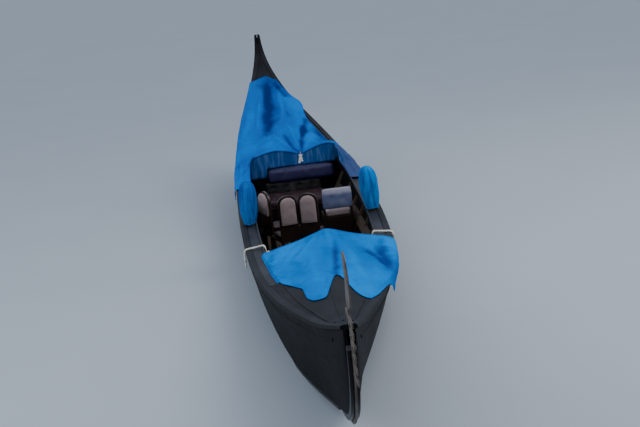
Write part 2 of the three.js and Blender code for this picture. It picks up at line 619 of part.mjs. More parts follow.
// A mooring rope on each side: a turn round the thwart, a lead over the coaming and the rail, and an eye.
const ROPE_X = FORE_THWART_X + THWART_WIDTH / 2;
const ROPE_LIFT = ROPE_RADIUS + 0.35; // rope's centre over what it lies on
const EYE = { drop: 74, radius: 24 };
const CORNER_STEPS = 3;
function roundedTurn(corners, radius) {
  return corners.flatMap(([u, v], i) => steps(CORNER_STEPS).map((t) => {
    const angle = (i + t) * Math.PI / 2;
    return [u + radius * Math.cos(angle), v + radius * Math.sin(angle)];
  }));
}
function mooringRope(side) {
  const [half, sheer] = [sheerHalf(ROPE_X, side), sheerAt(ROPE_X)];
  const inner = sideDeckInner(ROPE_X, side);
  const turnY = side * (inner - 3 * ROPE_LIFT);
  const [front, back] = [FORE_THWART_X + THWART_WIDTH, FORE_THWART_X];
  const [low, top] = [foreThwartTop - THWART_THICK, foreThwartTop];
  const turn = roundedTurn([[front, top], [back, top], [back, low], [front, low]], ROPE_LIFT)
    .map(([x, z]) => new THREE.Vector3(x, turnY, z));
  const coamingTop = sheer + SIDE_DECK_TOP + COAMING.rise;
  const lead = [
    [inner - 3 * ROPE_LIFT, top + ROPE_LIFT - 4],
    [inner - 2.4 * ROPE_LIFT, top + 2.6 * ROPE_LIFT],
    [inner - 1.5 * ROPE_LIFT, coamingTop - 2],
    [inner - 0.7 * ROPE_LIFT, coamingTop + 0.85 * ROPE_LIFT],
    [inner + COAMING.thick / 2, coamingTop + 1.1 * ROPE_LIFT],
    [half - RAIL_IN, sheer + RAIL_HEIGHT + 1.6 * ROPE_LIFT],
    [half, sheer + RAIL_HEIGHT + 1.1 * ROPE_LIFT],
    [half + RAIL_OUT, sheer + RAIL_HEIGHT + 0.75 * ROPE_LIFT],
    [half + RAIL_OUT + ROPE_LIFT, sheer + RAIL_HEIGHT - 4],
    [half + RAIL_OUT + 1.4 * ROPE_LIFT, sheer + 10],
    [half + RAIL_OUT + 1.4 * ROPE_LIFT, sheer - EYE.drop],
  ].map(([y, z]) => new THREE.Vector3(ROPE_X, side * y, z));
  const eyeY = side * (half + RAIL_OUT + 1.4 * ROPE_LIFT);
  const eyeZ = sheer - EYE.drop - EYE.radius;
  const eye = steps(12).slice(1).map((t) => new THREE.Vector3(
    ROPE_X + EYE.radius * Math.sin(2 * Math.PI * t), eyeY, eyeZ + EYE.radius * Math.cos(2 * Math.PI * t)));
  const [alongX, alongY] = [new THREE.Vector3(1, 0, 0), new THREE.Vector3(0, 1, 0)];
  return fuse(rope(turn, alongY, true), rope(lead, alongX), rope(eye, alongY, true));
}
for (const [label, side] of SIDES) {
  addPiece('mooring_rope_' + label, mooringRope(side), WHITE_ROPE);
}

// The passengers' seat: a box, its cushion, and a tall back that rests on the rails as a double arch.
const SEAT = { x0: -2340, x1: -1760, y0: -340, y1: 560, height: 250, wall: 18, cushion: 90 };
const SIDE_CLEARANCE = FRAME_DEPTH + 6; // from furniture to the planking, clear of the frames
function hollowBox({ x0, x1, y0, y1, wall }, low, top) {
  const fitted = (inset) => common(
    insideHull(x0 + inset, x1 - inset, SIDE_CLEARANCE + inset, FRAME_DEPTH),
    block([x0 - 1, y0 + inset, low - (inset ? 10 : 0)], [x1 + 1, y1 - inset, top - inset]));
  return cut(fitted(0), fitted(wall));
}
const seatFloor = Math.max(floorTopAt(SEAT.x0), floorTopAt(SEAT.x1)) + SEAT_GAP;
const seatTop = seatFloor + SEAT.height;
addPiece('seat_box', hollowBox(SEAT, seatFloor, seatTop), BLACK_LACQUER);

function cushion([x0, y0, z0], [x1, y1, z1], round = 22) {
  const [cx, cy] = [(x0 + x1) / 2, (y0 + y1) / 2];
  const ring = (inset, z) => {
    const [hx, hy] = [(x1 - x0) / 2 - inset, (y1 - y0) / 2 - inset];
    const r = Math.min(round * 1.6, hx * 0.9, hy * 0.9);
    return [[1, 1], [-1, 1], [-1, -1], [1, -1]].flatMap(([sx, sy], corner) => steps(3).map((t) => {
      const angle = (corner + t) * Math.PI / 2;
      return new THREE.Vector3(
        cx + sx * (hx - r) + r * Math.cos(angle), cy + sy * (hy - r) + r * Math.sin(angle), z);
    }));
  };
  return loft([ring(round * 0.6, z0), ring(0, z0 + round), ring(0, z1 - round), ring(round * 0.6, z1)]);
}
const CUSHION_SPAN = [-225, 460];
const CUSHION_SETBACK = 110; // room for the back's pad
const CUSHION_NOSE = 12; // cushion beyond the box
addPiece('seat_cushion', cushion(
  [SEAT.x0 + CUSHION_SETBACK, CUSHION_SPAN[0], seatTop + FIT_GAP],
  [SEAT.x1 + CUSHION_NOSE, CUSHION_SPAN[1], seatTop + SEAT.cushion]), MAROON_LEATHER);

// The back's double arch: heights over the rails, and places measured from its middle.
const BACK = {
  x: -2390, thick: 22, middle: 240, reach: { port: 542, starboard: 702 },
  shoulder: 30, cusp: 90, lobe: { port: 188, starboard: 165 }, lobeAt: { port: 350, starboard: 280 },
};
const [archStarboard, archPort] = [BACK.middle - BACK.reach.starboard, BACK.middle + BACK.reach.port];
const backRest = sheerAt(BACK.x) + RAIL_HEIGHT + FIT_GAP;
const ARCH_STEPS = 8;
function doubleArch(grow = 0) {
  const lobe = (side) => steps(ARCH_STEPS).map((t) => {
    const [reach, lobeHigh, lobeAt] = [BACK.reach, BACK.lobe, BACK.lobeAt].map((pair) => pair[labelOf(side)]);
    const out = reach * (1 - t);
    const isOuter = out > lobeAt;
    const low = isOuter ? BACK.shoulder : BACK.cusp;
    const share = isOuter ? (reach - out) / (reach - lobeAt) : out / lobeAt;
    const up = low + (lobeHigh - low) * Math.sin(share * Math.PI / 2);
    return [BACK.middle + side * out * (1 + grow / reach), backRest + up + grow];
  });
  return [...lobe(PORT), ...lobe(STARBOARD).slice(0, -1).reverse()];
}
// The board below the rails, starboard and port edges at three heights.
const BACK_FOOT = [[-190, 360, 60], [-270, 460, 200], [-330, 600, backRest]];
const backOutline = [
  ...doubleArch(),
  [archStarboard, backRest],
  ...[...BACK_FOOT].reverse().map(([starboard, , z]) => [starboard, z]),
  ...BACK_FOOT.map(([, port, z]) => [port, z]),
  [archPort, backRest],
];
const backBoard = crossPlate(backOutline, BACK.x, BACK.x + BACK.thick);
addPiece('seat_back_board', backBoard, BLACK_LACQUER);

// A black pad on the board, and a maroon roll over it.
const BACK_PAD = { x1: -2290, y0: -205, y1: 440, top: 430, round: 24 };
const ROLL = { x1: -2245, y0: -150, y1: 600, top: 585, round: 34 };
const padBackX = BACK.x + BACK.thick + 6; // clear of the back's cover
const backPad = cushion(
  [padBackX, BACK_PAD.y0, seatTop + FIT_GAP], [BACK_PAD.x1, BACK_PAD.y1, BACK_PAD.top], BACK_PAD.round);
addPiece('seat_back_pad', backPad, DARK_LEATHER);
const roll = cushion(
  [padBackX, ROLL.y0, BACK_PAD.top + FIT_GAP], [ROLL.x1, ROLL.y1, ROLL.top], ROLL.round);
addPiece('seat_back_roll', roll, MAROON_LEATHER);

// Smoky cover over the seat's back: an inverted U on the board, with an apron down to the roll, and lower
// beside the roll's starboard end.
const BACK_COVER = { thick: 5, skirt: 20 };
const APRON = { starboard: -440, port: 715, low: ROLL.top + 4, end: ROLL.y0 - 15, endLow: 475 };
const skirtLow = backRest + BACK_COVER.skirt;
const backCoverOutline = [
  ...doubleArch(BACK_COVER.thick),
  [archStarboard - BACK_COVER.thick, skirtLow],
  [APRON.starboard, skirtLow], [APRON.starboard, APRON.endLow],
  [APRON.end, APRON.endLow], [APRON.end, APRON.low],
  [APRON.port, APRON.low], [APRON.port, skirtLow],
  [archPort + BACK_COVER.thick, skirtLow],
];
const insideLow = APRON.endLow - 10;
const backCoverInside = [
  ...doubleArch(SEAT_GAP), [archStarboard - SEAT_GAP, insideLow], [archPort + SEAT_GAP, insideLow],
];
const [coverBack, coverFront] = [BACK.x - SEAT_GAP, BACK.x + BACK.thick + SEAT_GAP];
addPiece('seat_back_cover', cut(
  crossPlate(backCoverOutline, coverBack - BACK_COVER.thick, coverFront + BACK_COVER.thick),
  crossPlate(backCoverInside, coverBack, coverFront)), SMOKY_COVER);

// Small chairs with rounded backs. Each is made about the foot of its back, facing aft, then turned and set.
const CHAIRS = [
  // name, x, y, turn in degrees, width of the back, width of the seat's front, height
  ['starboard', -1150, -262, -70, 270, 290, 665],
  ['middle', -600, -45, 14, 196, 260, 715],
  ['port', -600, 168, -14, 196, 260, 715],
];
const CHAIR = { depth: 330, seat: 230, leg: 28, board: 22, arch: 0.7 };
const CHAIR_PAD = { thick: 34, inset: 20, low: 185 }; // on the back's outside, from the seat up
const CHAIR_CUSHION = { high: 40, inset: 8, frontInset: 4, backInset: 6, round: 16 };
const JOINED = 2; // overlap of parts that make one solid
function chairParts(x, y, turn, backWidth, frontWidth, high) {
  const [half, front] = [backWidth / 2, frontWidth / 2];
  const outline = (inset) => [
    [-inset, half - inset], [inset - CHAIR.depth, front - inset],
    [inset - CHAIR.depth, inset - front], [-inset, inset - half]];
  const slab = (inset, z0, z1) => loft([z0, z1].map((z) =>
    outline(inset).map(([u, v]) => new THREE.Vector3(u, v, z))));
  const legs = [
    [-CHAIR.depth, -front], [-CHAIR.depth, front - CHAIR.leg],
    [-CHAIR.leg, -half], [-CHAIR.leg, half - CHAIR.leg],
  ].map(([u, v]) => block([u, v, 0], [u + CHAIR.leg, v + CHAIR.leg, CHAIR.seat + JOINED]));
  const arch = (grow) => steps(8).map((t) => [
    (half - grow) * Math.cos(Math.PI * t),
    high - grow - half * CHAIR.arch * (1 - Math.sin(Math.PI * t))]);
  const seatJoint = CHAIR.seat + JOINED;
  const back = crossPlate([...arch(0), [-half, seatJoint], [half, seatJoint]], -CHAIR.board, 0);
  const [padLow, padHalf] = [CHAIR.seat + CHAIR_PAD.low, half - CHAIR_PAD.inset];
  const pad = crossPlate(
    [...arch(CHAIR_PAD.inset), [-padHalf, padLow], [padHalf, padLow]], SEAT_GAP, CHAIR_PAD.thick);
  const seatPadLow = CHAIR.seat + CHAIR.board + FIT_GAP;
  const seatHalf = half - CHAIR_CUSHION.inset;
  const seatPad = cushion(
    [CHAIR_CUSHION.frontInset - CHAIR.depth, -seatHalf, seatPadLow],
    [-CHAIR.board - CHAIR_CUSHION.backInset, seatHalf, seatPadLow + CHAIR_CUSHION.high], CHAIR_CUSHION.round);
  const frame = fuse(slab(0, CHAIR.seat, CHAIR.seat + CHAIR.board), back, ...legs);
  const placed = [frame, pad, seatPad].map((geometry) =>
    geometry.rotateZ(THREE.MathUtils.degToRad(turn)).translate(x, y, 0));
  // The boards rise aft, so the aftmost feet stand on them.
  const aftmost = new THREE.Box3().setFromBufferAttribute(placed[0].attributes.position).min.x;
  return placed.map((geometry) => geometry.translate(0, 0, floorTopAt(aftmost) + SEAT_GAP));
}
for (const [label, ...placing] of CHAIRS) {
  const [frame, pad, seatPad] = chairParts(...placing);
  addPiece('chair_frame_' + label, frame, BARE_WOOD);
  addPiece('chair_back_pad_' + label, pad, PALE_FABRIC);
  addPiece('chair_seat_pad_' + label, seatPad, MAROON_LEATHER);
}

// A side bench to port: a box with a low back on two posts, a cushion and a back pad.
const BENCH = { x0: -1290, x1: -930, y0: 340, y1: 650, height: 350, wall: 20, cushion: 60 };
const BENCH_BACK = { low: 90, high: 305, post: 24, thick: 18, pad: 28 };
const benchFloor = Math.max(floorTopAt(BENCH.x0), floorTopAt(BENCH.x1)) + SEAT_GAP;
const benchTop = benchFloor + BENCH.height;
const benchPosts = [BENCH.y0, BENCH.y1 - BENCH_BACK.post].map((y) => block(
  [BENCH.x1 - BENCH_BACK.post, y, benchTop - JOINED],
  [BENCH.x1, y + BENCH_BACK.post, benchTop + BENCH_BACK.high]));
const benchBack = block(
  [BENCH.x1 - BENCH_BACK.thick, BENCH.y0, benchTop + BENCH_BACK.low],
  [BENCH.x1, BENCH.y1, benchTop + BENCH_BACK.high]);
addPiece('bench_box', fuse(hollowBox(BENCH, benchFloor, benchTop), benchBack, ...benchPosts), BARE_WOOD);
addPiece('bench_cushion', cushion(
  [BENCH.x0 + 2, BENCH.y0 + BENCH_BACK.post + 2, benchTop + FIT_GAP],
  [BENCH.x1 - 2, BENCH.y1 - BENCH_BACK.post - 2, benchTop + BENCH.cushion], 16), PALE_FABRIC);
addPiece('bench_back_pad', cushion(
  [BENCH.x1 + SEAT_GAP, BENCH.y0 + 2, benchTop + BENCH_BACK.low + 2],
  [BENCH.x1 + BENCH_BACK.pad, BENCH.y1 - 2, benchTop + BENCH_BACK.high - 2], 10), SMOKY_COVER);

// Canvas covers, as shells over the decks and rails.
function coverShell(xs, outline) {
  return loft(xs.map((x) => {
    const outer = outline(x);
    const inner = offsetLine(outer, COVER_THICK);
    return [...outer, ...inner.reverse()].map(([y, z]) => new THREE.Vector3(x, y, z));
  }));
}
const RAIL_SLACK = 8; // canvas beyond the rail's nose
const HEM_DROP = 50; // hem below the sheer
const overRail = (x, side) => {
  const out = side * (sheerHalf(x, side) + RAIL_OUT + RAIL_SLACK + COVER_THICK);
  return [[out, sheerAt(x) - HEM_DROP], [out, sheerAt(x) + RAIL_HEIGHT + RAIL_SLACK]];
};
// A strip's width at x, from a table of x and width.
function stripAt(table, x) {
  const i = table.findIndex(([end]) => end >= x);
  const [[x0, w0], [x1, w1]] = [table[Math.max(0, i - 1)], table[Math.max(1, i)]];
  return w0 + (w1 - w0) * (x - x0) / (x1 - x0);
}
const COVER_STEPS = 8;
// Canvas's outer face over a deck, whose facets it clears
const AFT_DECK_SLACK = COVER_THICK + 2.4;
const FORE_DECK_SLACK = COVER_THICK + 2.4;
const RIDGE_SLACK = COVER_THICK + 8; // and over the ridge batten, whose corners it clears
function tent(x, port, starboard, crownZ, deckSlack) {
  const crown = [ridgeY(x), crownZ];
  const slope = (from, to) => steps(COVER_STEPS / 2).map((t) => {
    const [y, z] = [from[0] + (to[0] - from[0]) * t, from[1] + (to[1] - from[1]) * t];
    const across = (y - railInner(x, PORT)) / (-railInner(x, STARBOARD) - railInner(x, PORT));
    const deckZ = deckTop(x, Math.min(1, Math.max(0, across)))[1] + deckSlack;
    return [y, Math.max(z, deckZ)];
  });
  return [...slope(port, crown), ...slope(crown, starboard).slice(1)];
}

// Aft cover: over the starboard rail, and short of the port one.
const AFT_COVER = { x0: -4750, x1: -2402, rise: 60 };
// Bare strip between the port rail's inner edge and the canvas, which laps over the rail near the stern.
const PORT_STRIP = [[-4750, -20], [-4400, -48], [-4150, -48], [-3900, 0], [-3600, 44], [-2400, 44]];
const aftOutline = (x) => {
  const [hem, shoulder] = overRail(x, STARBOARD);
  const portY = railInner(x, PORT) - stripAt(PORT_STRIP, x);
  const port = [portY, sheerAt(x) + RAIL_HEIGHT + AFT_DECK_SLACK];
  const crown = deckTop(x, 0.5)[1] + AFT_COVER.rise;
  return [...tent(x, port, shoulder, crown, AFT_DECK_SLACK), hem];
};
addPiece('aft_cover', coverShell(between(AFT_COVER.x0, AFT_COVER.x1), aftOutline), BLUE_CANVAS);

// The canvas's starboard corner laps over the end of the seat's back and runs forward over the rail.
const CORNER = {
  x0: AFT_COVER.x1 + SEAT_GAP, lapEnd: coverFront + BACK_COVER.thick + 7, foot: -2290, x1: -1600,
};
const LAP_POINTS = 3; // of the arch, from its end
const LAP_SLACK = COVER_THICK + 1.5; // canvas's outer face over the arch and over the coaming
const lapLine = doubleArch(BACK_COVER.thick).slice(-LAP_POINTS)
  .map(([y, z], i) => [i === LAP_POINTS - 1 ? y - LAP_SLACK : y, z + LAP_SLACK]);
const cornerOutline = (x) => {
  const [hem, shoulder] = overRail(x, STARBOARD);
  if (x <= CORNER.lapEnd) return [...lapLine, shoulder, hem];
  const inner = [-sideDeckInner(x, STARBOARD), sheerAt(x) + SIDE_DECK_TOP + COAMING.rise + LAP_SLACK];
  const across = steps(LAP_POINTS).slice(0, -1)
    .map((t) => [inner[0] + (shoulder[0] - inner[0]) * t, inner[1] + (shoulder[1] - inner[1]) * t]);
  return [...across, shoulder, hem];
};
addPiece('aft_cover_corner', coverShell(
  [CORNER.x0, CORNER.lapEnd, ...between(CORNER.foot, CORNER.x1)], cornerOutline), BLUE_CANVAS);

// The smoky cover's port wing runs forward from the arch's end over the coaming and the rail.
const WING = { x0: coverFront + BACK_COVER.thick + SEAT_GAP, foot: -2130, x1: -1500 };
const wingHead = doubleArch().slice(0, LAP_POINTS);
const wingOutline = (x) => {
  const [hem, shoulder] = overRail(x, PORT);
  if (x <= WING.x0) return [hem, shoulder, ...wingHead];
  const inner = [sideDeckInner(x, PORT), sheerAt(x) + SIDE_DECK_TOP + COAMING.rise + LAP_SLACK];
  const across = steps(LAP_POINTS).slice(1)
    .map((t) => [shoulder[0] + (inner[0] - shoulder[0]) * t, shoulder[1] + (inner[1] - shoulder[1]) * t]);
  return [hem, shoulder, ...across];
};
addPiece('back_cover_wing', coverShell([WING.x0, ...between(WING.foot, WING.x1)], wingOutline), SMOKY_COVER);

// Fore cover: a tent on the ridge batten, over the port rail and on the starboard one.
const FORE_COVER = { x0: 1190, x1: 3780 };
// Bare strip between the starboard sheer and the canvas.
const STARBOARD_STRIP = [[1190, 128], [2000, 165], [3200, 205], [3600, 155], [3780, 170]];
const foreOutline = (x) => {
  const [hem, shoulder] = overRail(x, PORT);
  const onDeck = x >= FORE_BULKHEAD_X - 1;
  const edgeY = stripAt(STARBOARD_STRIP, x) - sheerHalf(x, STARBOARD);
  const restsOn = onDeck ? 0 : SIDE_DECK_TOP + COAMING.rise;
  const starboard = [edgeY, sheerAt(x) + restsOn + COVER_THICK + FIT_GAP];
  const crown = (onDeck ? deckTop(x, RIDGE.share)[1] : ridgeTopAt(x)) + RIDGE_SLACK;
  return [hem, ...tent(x, shoulder, starboard, crown, onDeck ? FORE_DECK_SLACK : -Infinity)];
};
const foreCoverXs = [
  ...between(FORE_COVER.x0, FORE_BULKHEAD_X - 40), ...between(FORE_BULKHEAD_X - 1, FORE_COVER.x1)];
// Its front edge seen from above, starboard to port: two lobes with a notch between them.
const FRONT_EDGE = [
  [3560, -400], [3590, -150], [3740, -110], [3775, -70], [3750, -20], [3290, 62], [2900, 132],
  [3080, 172], [3440, 183], [3650, 205], [3770, 240], [3765, 300], [3470, 405], [3010, 520], [2900, 640],
];
const foreClear = [FORE_COVER.x1 + 100, 300, 1200]; // how far the cut reaches forward, down and up
const frontCut = new THREE.ExtrudeGeometry(new THREE.Shape(
  [...FRONT_EDGE, [foreClear[0], FRONT_EDGE.at(-1)[1]], [foreClear[0], FRONT_EDGE[0][1]]]
    .map(([x, y]) => new THREE.Vector2(x, y))), { depth: foreClear[2] - foreClear[1], bevelEnabled: false })
  .translate(0, 0, foreClear[1]);
addPiece('fore_cover', cut(coverShell(foreCoverXs, foreOutline), frontCut), BLUE_CANVAS);

// Canvas hoods stand on the side decks: half length, half width and height over the deck, ring by ring.
const HOOD_X = -170;
const HOOD_RINGS = [
  [118, 38, 0],
  [128, 40, 56],
  [146, 88, 84],
  [150, 98, 200],
  [136, 88, 320],
  [100, 60, 400],
  [42, 24, 432],
];
const HOOD_SIDES = 12;
const HOOD_SQUARENESS = 0.7; // 1 for an ellipse, less for rounder corners
for (const [label, side] of SIDES) {
  const middle = side * (sideDeckInner(HOOD_X, side) + COAMING.thick + 44);
  const low = sheerAt(HOOD_X - HOOD_RINGS[0][0]) + SIDE_DECK_TOP + SEAT_GAP;
  const swell = (v) => Math.sign(v) * Math.abs(v) ** HOOD_SQUARENESS;
  const hood = loft(HOOD_RINGS.map(([halfLength, halfWidth, up]) => steps(HOOD_SIDES).slice(1).map((t) =>
    new THREE.Vector3(
      HOOD_X + halfLength * swell(Math.cos(2 * Math.PI * t)),
      middle + halfWidth * swell(Math.sin(2 * Math.PI * t)),
      low + up))));
  addPiece('hood_' + label, hood, BLUE_CANVAS);
}

export default gondola;
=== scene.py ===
"""A moored Venetian gondola: lacquered hull, irons, seats and blue canvas covers."""

import bisect
import math

import bmesh
import bpy
from mathutils import Matrix, Vector, noise
from mathutils.bvhtree import BVHTree


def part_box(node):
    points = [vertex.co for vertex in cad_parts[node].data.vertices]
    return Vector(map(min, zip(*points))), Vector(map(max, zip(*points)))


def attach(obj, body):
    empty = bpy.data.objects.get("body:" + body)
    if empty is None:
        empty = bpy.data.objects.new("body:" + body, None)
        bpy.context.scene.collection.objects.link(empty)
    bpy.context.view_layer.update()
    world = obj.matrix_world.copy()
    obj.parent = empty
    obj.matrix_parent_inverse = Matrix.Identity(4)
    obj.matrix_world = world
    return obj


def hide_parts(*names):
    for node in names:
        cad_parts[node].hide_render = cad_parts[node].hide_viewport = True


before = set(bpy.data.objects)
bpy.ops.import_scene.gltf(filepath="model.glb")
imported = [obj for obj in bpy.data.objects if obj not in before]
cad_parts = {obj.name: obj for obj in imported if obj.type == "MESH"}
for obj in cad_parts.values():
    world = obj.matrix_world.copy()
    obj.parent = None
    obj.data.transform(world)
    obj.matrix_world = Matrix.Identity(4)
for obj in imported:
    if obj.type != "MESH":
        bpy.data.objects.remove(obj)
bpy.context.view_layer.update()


# Side planking: three broad strakes of fir on each side, bent round the frames and nailed, their seams
# filled, then lacquered black. A half-round moulding runs under the rail. It dulls and greys low down.
class Value:
    """An output of a shader node that can be reckoned with."""

    def __init__(self, finish, socket):
        self.finish = finish
        self.socket = socket

    def reckon(self, operation, first, second):
        return self.finish.node("Math", {0: first, 1: second}, operation=operation)

    def __add__(self, other):
        return self.reckon("ADD", self, other)

    def __radd__(self, other):
        return self.reckon("ADD", other, self)

    def __sub__(self, other):
        return self.reckon("SUBTRACT", self, other)

    def __rsub__(self, other):
        return self.reckon("SUBTRACT", other, self)

    def __mul__(self, other):
        return self.reckon("MULTIPLY", self, other)

    def __rmul__(self, other):
        return self.reckon("MULTIPLY", other, self)


class Finish:
    """A material, its shader and one method that makes any other node. The slot it is named for is not used.
    """

    def __init__(self, name, slot, **constants):
        self.slot = slot
        self.material = bpy.data.materials.new(name)
        self.material.use_nodes = True
        self.tree = self.material.node_tree
        self.shader = self.tree.nodes["Principled BSDF"]
        self.place = self.node("TexCoord", out="Object")
        self.set(**constants)

    def feed(self, socket, value):
        if isinstance(value, Value):
            self.tree.links.new(value.socket, socket)
        else:
            socket.default_value = value

    def set(self, **inputs):
        for name, value in inputs.items():
            self.feed(self.shader.inputs[name.replace("_", " ")], value)

    def node(self, kind, inputs=None, out=0, **settings):
        made = self.tree.nodes.new("ShaderNode" + kind)
        for name, value in settings.items():
            setattr(made, name, value)
        for name, value in (inputs or {}).items():
            self.feed(made.inputs[name], value)
        return Value(self, made.outputs[out])

    def cloud(self, scale, detail, stretch=(1, 1, 1)):
        where = self.node("VectorMath", {0: self.place, 1: stretch}, operation="MULTIPLY")
        return self.node("TexNoise", {"Vector": where, "Scale": scale, "Detail": detail})

    def ease(self, value, low, high):
        return self.node("MapRange", {"Value": value, "From Min": low, "From Max": high},
                         interpolation_type="SMOOTHSTEP")

    def mix(self, share, first, second):
        return self.node("Mix", {0: share, 6: (*first, 1) if isinstance(first, tuple) else first,
                                 7: (*second, 1) if isinstance(second, tuple) else second},
                         out=2, data_type="RGBA")

    def bump(self, height, distance, under=None):
        inputs = {"Height": height, "Distance": distance}
        if under:
            inputs["Normal"] = under
        return self.node("Bump", inputs)

    def axis(self, name, place=None):
        return self.node("SeparateXYZ", {0: place or self.place}, out=name)

    def facing_up(self):
        return self.axis("Z", self.node("NewGeometry", out="Normal"))


def lacquer_finish(name, strakes=False, dust_and_sheen=0.5, rough=0.24, *, shine, coat=0.0):
    """Black lacquer, greyed on upward faces where it is dusty and by a painted reflection of the sky, and by
    salt near the waterline.
    """
    made = Finish(name, "black_lacquer", Specular_IOR_Level=shine, Coat_Roughness=0.12, Coat_Weight=coat)
    height = made.axis("Z")
    grime = made.cloud(3.5, 5, (0.5, 1, 2.0))
    salt = made.ease(height + made.cloud(9.0, 4) * 0.08, 0.12, 0.03)
    # Upward faces turn grey, partly because they are dusty and partly from a painted reflection of the sky.
    dust_and_sky_sheen = made.ease(made.facing_up(), 0.5, 0.95) * (made.ease(grime, 0.3, 0.75) * 0.6 + 0.4) * dust_and_sheen
    colour = made.mix(grime, (0.0035, 0.0035, 0.005), (0.009, 0.0085, 0.0095))
    colour = made.mix(dust_and_sky_sheen, colour, (0.06, 0.068, 0.085))
    colour = made.mix(salt * 0.4, colour, (0.03, 0.033, 0.03))
    handled = made.cloud(14.0, 4, (0.4, 1, 1))
    made.set(Base_Color=colour, Roughness=handled * 0.14 + dust_and_sky_sheen * 0.25 + salt * 0.25 + rough)
    brushed = made.bump(made.cloud(3.0, 3, (0.5, 2, 3)), 0.003)
    if strakes:
        strake = made.node("Attribute", out="Fac", attribute_name="strake")
        to_seam = made.node("Math", {0: strake * 3.0, 1: 1.0}, operation="PINGPONG")
        brushed = made.bump(made.ease(to_seam, 0.0, 0.018), 0.0025, brushed)
    made.set(Normal=brushed)
    return made


hull_lacquer = lacquer_finish("hull_lacquer", strakes=True, rough=0.45, shine=0.025)
lacquer = lacquer_finish("lacquer", shine=0.08, coat=0.1)


def merged(node):
    """A CAD node's mesh, its loose triangles joined."""
    mesh = bmesh.new()
    mesh.from_mesh(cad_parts[node].data)
    bmesh.ops.remove_doubles(mesh, verts=mesh.verts, dist=2e-5)
    bmesh.ops.recalc_face_normals(mesh, faces=mesh.faces)
    return mesh


def mesh_data(name, mesh):
    """The bmesh as mesh data. The bmesh itself is freed."""
    data = bpy.data.meshes.new(name)
    mesh.to_mesh(data)
    mesh.free()
    return data


def linked(name, data):
    """A new object in the scene."""
    made = bpy.data.objects.new(name, data)
    bpy.context.scene.collection.objects.link(made)
    return made


ALL_SMOOTH = 180  # degrees: no edge is sharp


def piece(name, mesh, finish, body="hull", instead=(), angle=35):
    """An object made from a bmesh, smooth up to that angle, riding on its body."""
    data = mesh_data(name, mesh)
    data.shade_smooth()
    data.set_sharp_from_angle(angle=math.radians(angle))
    data.materials.append(finish.material)
    made = linked(name, data)
    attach(made, body)
    if instead:
        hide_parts(*instead)
    return made


def bevelled(made, width, segments=2):
    """The object with its sharp edges rounded."""
    rounding = made.modifiers.new("rounding", "BEVEL")
    rounding.width = width
    rounding.segments = segments
    rounding.limit_method = "ANGLE"
    rounding.angle_limit = math.radians(28)
    rounding.use_clamp_overlap = True
    return made


def subdivided(made, levels):
    rounds = made.modifiers.new("fairing", "SUBSURF")
    rounds.levels = rounds.render_levels = levels
    return made


def eased(node, finish, width, body="hull", segments=2):
    """The CAD node's own shape with its flat faces joined and its edges eased."""
    mesh = merged(node)
    bmesh.ops.dissolve_limit(mesh, angle_limit=math.radians(0.4), verts=mesh.verts, edges=mesh.edges)
    return bevelled(piece(node + "_eased", mesh, finish, body, (node,)), width, segments)


def faired(node, finish, crease=24, mark=None):
    """The CAD node's facets faired into one sweep, its sharp edges kept."""
    mesh = merged(node)
    bmesh.ops.join_triangles(mesh, faces=mesh.faces, angle_face_threshold=math.radians(12),
                             angle_shape_threshold=math.radians(60))
    creases = mesh.edges.layers.float.new("crease_edge")
    for edge in mesh.edges:
        if edge.calc_face_angle(math.pi) > math.radians(crease):
            edge[creases] = 1
    if mark:
        layer = mesh.verts.layers.float.new(mark[0])
        for vertex in mesh.verts:
            vertex[layer] = mark[1](vertex.co)
    return subdivided(piece(node + "_faired", mesh, finish, "hull", (node,), crease), 2)


def clipped(value):
    """The value, no less than 0 and no more than 1."""
    return min(max(value, 0), 1)


def station_line(node, pick):
    """A number that pick reads off a CAD node's points at each of its stations, as a smooth rule of x."""
    rows = {}
    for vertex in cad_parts[node].data.vertices:
        rows.setdefault(round(vertex.co.x, 4), []).append(vertex.co)
    xs = sorted(rows)
    values = [pick(rows[x]) for x in xs]

    def at(x):
        i = min(max(bisect.bisect_right(xs, x) - 1, 0), len(xs) - 2)
        span = xs[i + 1] - xs[i]
        t = clipped((x - xs[i]) / span)
        low, high = max(i - 1, 0), min(i + 2, len(xs) - 1)
        start = (values[i + 1] - values[low]) / (xs[i + 1] - xs[low]) * span
        end = (values[high] - values[i]) / (xs[high] - xs[i]) * span
        s = t * t * (3 - 2 * t)
        return values[i] * (1 - s) + values[i + 1] * s + t * (1 - t) * ((1 - t) * start - t * end)
    return at


SIDES = (("port", 1), ("starboard", -1))


def both_sides(start, pick):
    """The same number's rule for the port node and for the starboard one."""
    return {name: station_line(start + name, pick) for name, _ in SIDES}


sheer = station_line("side_planking_port", lambda row: max(p.z for p in row))
low_edge = station_line("side_planking_port", lambda row: min(p.z for p in row))
rail_out = both_sides("cap_rail_", lambda row: max(abs(p.y) for p in row))
rail_in = both_sides("cap_rail_", lambda row: min(abs(p.y) for p in row))
rail_top = station_line("cap_rail_port", lambda row: max(p.z for p in row))


def strake_share(point):
    low, high = low_edge(point.x), sheer(point.x)
    return (point.z - low) / max(high - low, 0.02)


def surface(*nodes):
    """Tells where a ray from a point, downward unless told, first meets the CAD nodes."""
    whole = bmesh.new()
    for node in nodes:
        whole.from_mesh(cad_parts[node].data)
    tree = BVHTree.FromBMesh(whole)
    whole.free()

    def hit(start, direction=(0, 0, -1)):
        return tree.ray_cast(Vector(start), Vector(direction))[0]
    return hit


def skin(mesh, rings, closed=False):
    """Faces between rings of as many vertices each, round to the first ring, or with both ends filled."""
    for first, second in zip(rings, rings[1:] + rings[:1] if closed else rings[1:]):
        for k in range(len(first)):
            n = (k + 1) % len(first)
            mesh.faces.new((first[k], first[n], second[n], second[k]))
    if not closed:
        mesh.faces.new(rings[0][::-1])
        mesh.faces.new(rings[-1])
    bmesh.ops.recalc_face_normals(mesh, faces=mesh.faces)
    return mesh


